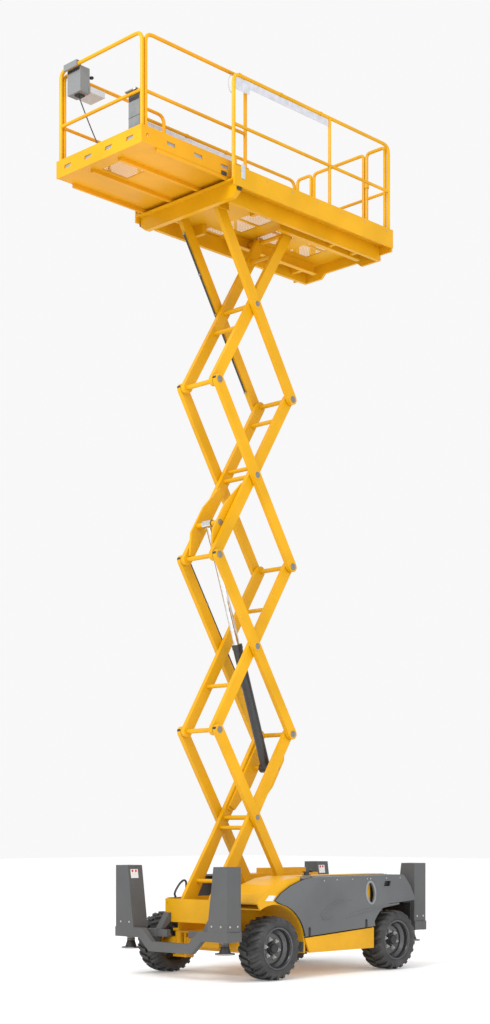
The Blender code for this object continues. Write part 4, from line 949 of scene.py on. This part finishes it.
def deck_fittings():
    """Filler cap, hose loop, pump plunger and the front block's bolts."""
    bm = bmesh.new()
    place = at(0.120, 0.520, 1.030)
    add_turned(bm, [(0.0, 0.0), (0.046, 0.0), (0.046, 0.010), (0.030, 0.014), (0.028, 0.034),
                    (0.0, 0.036)], place, (0, 0, 1), 28)
    add_block(bm, place + Vector((-0.085, -0.014, 0.034)), place + Vector((0.050, 0.014, 0.046)),
              0.004)
    add_block(bm, place + Vector((-0.085, -0.020, 0.040)), place + Vector((-0.045, 0.020, 0.060)),
              0.006)
    finished("filler_cap", bm, barrel_paint, "chassis")
    bm = bmesh.new()
    head = [(0.0, -0.001), (0.012, -0.001), (0.012, 0.005), (0.0, 0.006)]
    for y in (-0.370, 0.370):
        for z in (0.595, 0.765):
            add_turned(bm, head, at(1.290, y, z), (1, 0, 0), 6)
    finished("front_block_bolts", bm, yellow, "chassis")
    bm = bmesh.new()
    loop = [at(1.210, -0.330, 0.815), at(1.226, -0.326, 0.850), at(1.205, -0.320, 0.900),
            at(1.160, -0.316, 0.955), at(1.110, -0.316, 0.985), at(1.070, -0.322, 0.970),
            at(1.055, -0.335, 0.900), at(1.055, -0.350, 0.815)]
    add_tube(bm, smooth_path(loop, 6), 0.011, 10)
    finished("foot_hose_loop", bm, hose_rubber, "chassis")
    bm = bmesh.new()
    add_turned(bm, [(0.0, 0.0), (0.016, 0.0), (0.016, 0.110), (0.021, 0.112), (0.021, 0.128),
                    (0.0, 0.130)], at(1.215, 0.342, 0.800), (-0.45, 0, 0.9), 18)
    finished("pump_plunger", bm, chrome, "chassis")


def access_ladder():
    """Three rungs between two rails at the machine's rear."""
    bm = bmesh.new()
    for y in (-0.205, 0.205):
        add_tube(bm, smooth_path([at(-1.262, y, 0.470), at(-1.300, y, 0.520), at(-1.300, y, 0.740),
                                  at(-1.262, y, 0.795)], 5), 0.014, 10)
    for z in (0.545, 0.635, 0.725):
        add_tube(bm, [at(-1.300, -0.205, z), at(-1.300, 0.205, z)], 0.012, 10)
    finished("access_ladder", bm, yellow, "chassis")


def wing_label():
    """The blank label on the left front wing."""
    bm = bmesh.new()
    y = 0.8375
    add_sheet(bm, [at(1.072, y, 0.802), at(1.018, y, 0.856), at(0.915, y, 0.850),
                   at(0.965, y, 0.796)], (0, 1, 0), 0.0012)
    finished("wing_blank_label", bm, white_film, "chassis")


wing_label()
mudguards()
cover_fittings()
beam_fittings()
steering_gear()
deck_fittings()
access_ladder()


# ---- platform fittings
STRIP_THICK = 0.004
STRIP_TOP, STRIP_FOOT, FLAP_FOOT = 8.988, 8.918, 8.862
STRIP_FRONT, STRIP_REAR, FLAP_REAR = 1.366, -0.018, 1.160
RAIL_TOP_Z, TOE_FACE, DECK_TOP, EXT_DECK_TOP, SLOT_RISE = 9.013, 0.743, 7.9626, 8.0125, 0.119


def rail_strips():
    """Pale wind strips under the top rails, from the front post to the middle one."""
    for side, word in SIDES:
        bm = bmesh.new()
        y = side * 0.704
        strip = [at(STRIP_FRONT, y, STRIP_TOP), at(STRIP_REAR, y, STRIP_TOP),
                 at(STRIP_REAR, y, STRIP_FOOT), at(FLAP_REAR, y, STRIP_FOOT),
                 at(FLAP_REAR, y, FLAP_FOOT), at(STRIP_FRONT, y, FLAP_FOOT)]
        inner = [point - Vector((0, side * STRIP_THICK / 2, 0)) for point in strip]
        add_sheet(bm, inner, (0, side, 0), STRIP_THICK)
        finished(word + "_wind_strip", bm, clear_strip, "platform")
        bm = bmesh.new()
        for x in (1.300, 0.700, 0.100):
            add_turned(bm, [(0.0192, -0.010), (0.0225, -0.010), (0.0225, 0.010), (0.0192, 0.010)],
                       at(x, y, RAIL_TOP_Z), (1, 0, 0), 20)
        finished(word + "_strip_clips", bm, rail_yellow, "platform")


def post_loop():
    """The cord's loop at the left front post and the blank plate below it."""
    bm = bmesh.new()
    add_tube(bm, smooth_path([at(1.372, 0.672, 9.000), at(1.398, 0.662, 8.985),
                              at(1.418, 0.660, 8.920), at(1.405, 0.664, 8.850),
                              at(1.382, 0.676, 8.820)], 6), 0.0055, 8)
    finished("post_loop", bm, tray_plastic, "platform")
    bm = bmesh.new()
    low, high = at(1.262, 0.7435, 7.975), at(1.318, 0.7475, 8.118)
    add_block(bm, low, high, 0.0015)
    finished("blank_plate", bm, tray_plastic, "platform")


def deck_blocks():
    """Black roller blocks at the cross beam's ends and the extension's latches."""
    bm = bmesh.new()
    for side in (1, -1):
        add_side_block(bm, side, (1.296, 0.714, 7.862), (1.352, 0.736, 7.902), 0.005)
    finished("cross_beam_rollers", bm, pad_black, "platform")
    bm = bmesh.new()
    for side in (1, -1):
        add_side_block(bm, side, (1.424, 0.6372, 7.992), (1.492, 0.649, 8.030), 0.004)
    finished("extension_latches", bm, pad_black, "extension")


def slot_backs():
    """Dark plates behind the slots in the extension's toe boards."""
    bm = bmesh.new()
    z = FLOOR_Z + SLOT_RISE
    for y in (-0.465, -0.155, 0.155, 0.465):
        add_block(bm, at(2.5260, y - 0.066, z - 0.023), at(2.5300, y + 0.066, z + 0.023), 0.0)
    for x in (1.440, 1.800, 2.160):
        for side in (1, -1):
            add_side_block(bm, side, (x - 0.070, 0.6235, z - 0.023),
                           (x + 0.070, 0.6275, z + 0.023), 0.0)
    finished("slot_backs", bm, zinc, "extension")


def toe_board_bolts():
    """Bolts in a row along each toe board, and welded collars at the posts' feet."""
    head = [(0.0, -0.001), (0.0085, -0.001), (0.0085, 0.004), (0.006, 0.0055), (0.0, 0.0055)]
    for side, word in SIDES:
        bm = bmesh.new()
        add_turned(bm, head, Vector((0, side * TOE_FACE, 0)), (0, side, 0), 8)
        repeat(word + "_toe_bolts", ROW, bm, bolt_steel, "platform", 7, at(-0.930, 0, 8.050),
               (0.375, 0, 0))
        bm = bmesh.new()
        y = side * 0.7037
        for x in (1.385, -0.040, -1.0057):
            add_turned(bm, [(0.0193, 0.0), (0.030, 0.0), (0.024, 0.010), (0.0205, 0.018),
                            (0.0193, 0.018)], at(x, y, DECK_TOP), (0, 0, 1), 20)
        finished(word + "_post_collars", bm, rail_yellow, "platform")
        bm = bmesh.new()
        y = side * 0.6057
        for x in (1.123, 2.460):
            add_turned(bm, [(0.0193, 0.0), (0.028, 0.0), (0.023, 0.010), (0.0205, 0.016),
                            (0.0193, 0.016)], at(x, y, EXT_DECK_TOP), (0, 0, 1), 20)
        finished(word + "_extension_collars", bm, ext_yellow, "extension")


def gate_fittings():
    """The gate's spring latch."""
    bm = bmesh.new()
    add_block(bm, at(-1.028, -0.448, 8.590), at(-0.984, -0.372, 8.622), 0.004)
    add_turned(bm, [(0.0, 0.0), (0.008, 0.0), (0.008, 0.050), (0.013, 0.054), (0.013, 0.064),
                    (0.0, 0.066)], at(-0.984, -0.392, 8.606), (1, 0, 0), 14)
    finished("gate_latch", bm, pad_black, "gate")


rail_strips()
slot_backs()
post_loop()
deck_blocks()
toe_board_bolts()
gate_fittings()

INSIDE, OUTSIDE = 2.4864, 2.5250          # faces of the front rail's tube
PANEL = INSIDE - 0.120                    # the control box's face
BOX_Y, DOC_Y, BOX_TOP, DOC_TOP = -0.430, 0.470, 9.0902, 8.5363


def control_station():
    """Painted shadow strips, joystick, buttons and seams on the control box and the document box.
    """
    bm = bmesh.new()
    # painted shadow: a black strip on the box's face where the rail crosses it, under the hook
    add_block(bm, at(INSIDE - 0.001, BOX_Y - 0.088, BOX_TOP - 0.078),
              at(INSIDE + 0.004, BOX_Y + 0.088, BOX_TOP - 0.054), 0.002)
    add_block(bm, at(INSIDE - 0.110, BOX_Y - 0.030, BOX_TOP - 0.302),
              at(INSIDE - 0.030, BOX_Y + 0.040, BOX_TOP - 0.288), 0.004)
    add_turned(bm, [(0.0, 0.0), (0.024, 0.0), (0.022, 0.008), (0.008, 0.014), (0.007, 0.060),
                    (0.015, 0.066), (0.017, 0.090), (0.012, 0.102), (0.0, 0.105)],
               at(PANEL, BOX_Y + 0.035, BOX_TOP - 0.110), (-1, 0, 0.35), 20)
    finished("control_strap_and_stick", bm, liner_and_shadow_black, "extension")
    bm = bmesh.new()
    for i in range(3):
        add_turned(bm, [(0.0, 0.0), (0.010, 0.0), (0.010, 0.006), (0.007, 0.009), (0.0, 0.009)],
                   at(PANEL, BOX_Y - 0.060 + 0.030 * i, BOX_TOP - 0.175), (-1, 0, 0), 16)
    finished("control_buttons", bm, bolt_steel, "extension")
    bm = bmesh.new()
    add_turned(bm, [(0.0, 0.0), (0.012, 0.0), (0.012, 0.008), (0.020, 0.010), (0.019, 0.018),
                    (0.0, 0.022)],
               at(PANEL, BOX_Y - 0.055, BOX_TOP - 0.105), (-1, 0, 0), 20)
    finished("stop_button", bm, label_red, "extension")
    bm = bmesh.new()
    # painted shadow: a black strip on the document box's face where the rail crosses it; the thin
    # sheet below is a dark seam
    add_block(bm, at(INSIDE - 0.001, DOC_Y - 0.070, DOC_TOP - 0.084),
              at(INSIDE + 0.005, DOC_Y + 0.070, DOC_TOP - 0.052), 0.002)
    add_block(bm, at(INSIDE - 0.052, DOC_Y - 0.0815, DOC_TOP - 0.240),
              at(INSIDE + 0.0012, DOC_Y + 0.0815, DOC_TOP - 0.236), 0.0)
    finished("document_strap", bm, liner_and_shadow_black, "extension")
    bm = bmesh.new()
    add_block(bm, at(OUTSIDE + 0.009, DOC_Y + 0.045, DOC_TOP - 0.012),
              at(OUTSIDE + 0.0125, DOC_Y + 0.075, DOC_TOP - 0.001), 0.0)
    finished("document_tag", bm, white_film, "extension")
    bm = bmesh.new()
    shell = [(0.0145, 0.0), (0.022, 0.0), (0.020, 0.006), (0.0145, 0.008)]
    add_turned(bm, shell, at(INSIDE - 0.200, BOX_Y + 0.300, EXT_DECK_TOP), (0, 0, 1), 16)
    finished("cable_gland", bm, pad_black, "extension")


control_station()


# ---- light and floor
SKY, FLOOR_GLOW, FLOOR_HALF, LAMP_AIM = 0.94, 0.16, 60.0, 4.0


def set_light():
    """Pale floor, soft boxes and an even pale sky."""
    bm = bmesh.new()
    bmesh.ops.create_grid(bm, x_segments=1, y_segments=1, size=FLOOR_HALF)
    mesh = bpy.data.meshes.new("studio_floor")
    bm.to_mesh(mesh)
    bm.free()
    floor = bpy.data.objects.new("studio_floor", mesh)
    bpy.context.scene.collection.objects.link(floor)
    floor.location.z = -0.002
    paper = Paint("studio floor", (0.90, 0.90, 0.90), 0.75)
    paper.set("Base Color", paper.mix(paper.noise(0.4, 2, 0.5), (0.89, 0.89, 0.89),
                                      (0.91, 0.91, 0.91)))
    paper.shader.inputs["Emission Color"].default_value = (1.0, 1.0, 1.0, 1.0)
    paper.shader.inputs["Emission Strength"].default_value = FLOOR_GLOW
    mesh.materials.append(paper.material)
    world = bpy.data.worlds.new("sky")
    world.use_nodes = True
    world.node_tree.nodes["Background"].inputs[0].default_value = (1.0, 1.0, 1.0, 1)
    world.node_tree.nodes["Background"].inputs[1].default_value = SKY
    bpy.context.scene.world = world
    lamps = (("key", (10.0, 2.0, 12.0), 6.0, 1000), ("fill", (2.0, 14.0, 6.0), 8.0, 420),
             ("low", (12.0, 9.0, 2.0), 6.0, 130))
    for name, place, size, power in lamps:
        data = bpy.data.lights.new(name, "AREA")
        data.size = size
        data.energy = power
        lamp = bpy.data.objects.new(name, data)
        bpy.context.scene.collection.objects.link(lamp)
        lamp.location = place
        aim = Vector((0, 0, LAMP_AIM)) - Vector(place)
        lamp.rotation_euler = aim.to_track_quat("-Z", "Y").to_euler()


set_light()
scene = bpy.context.scene
scene.view_settings.view_transform = "Standard"
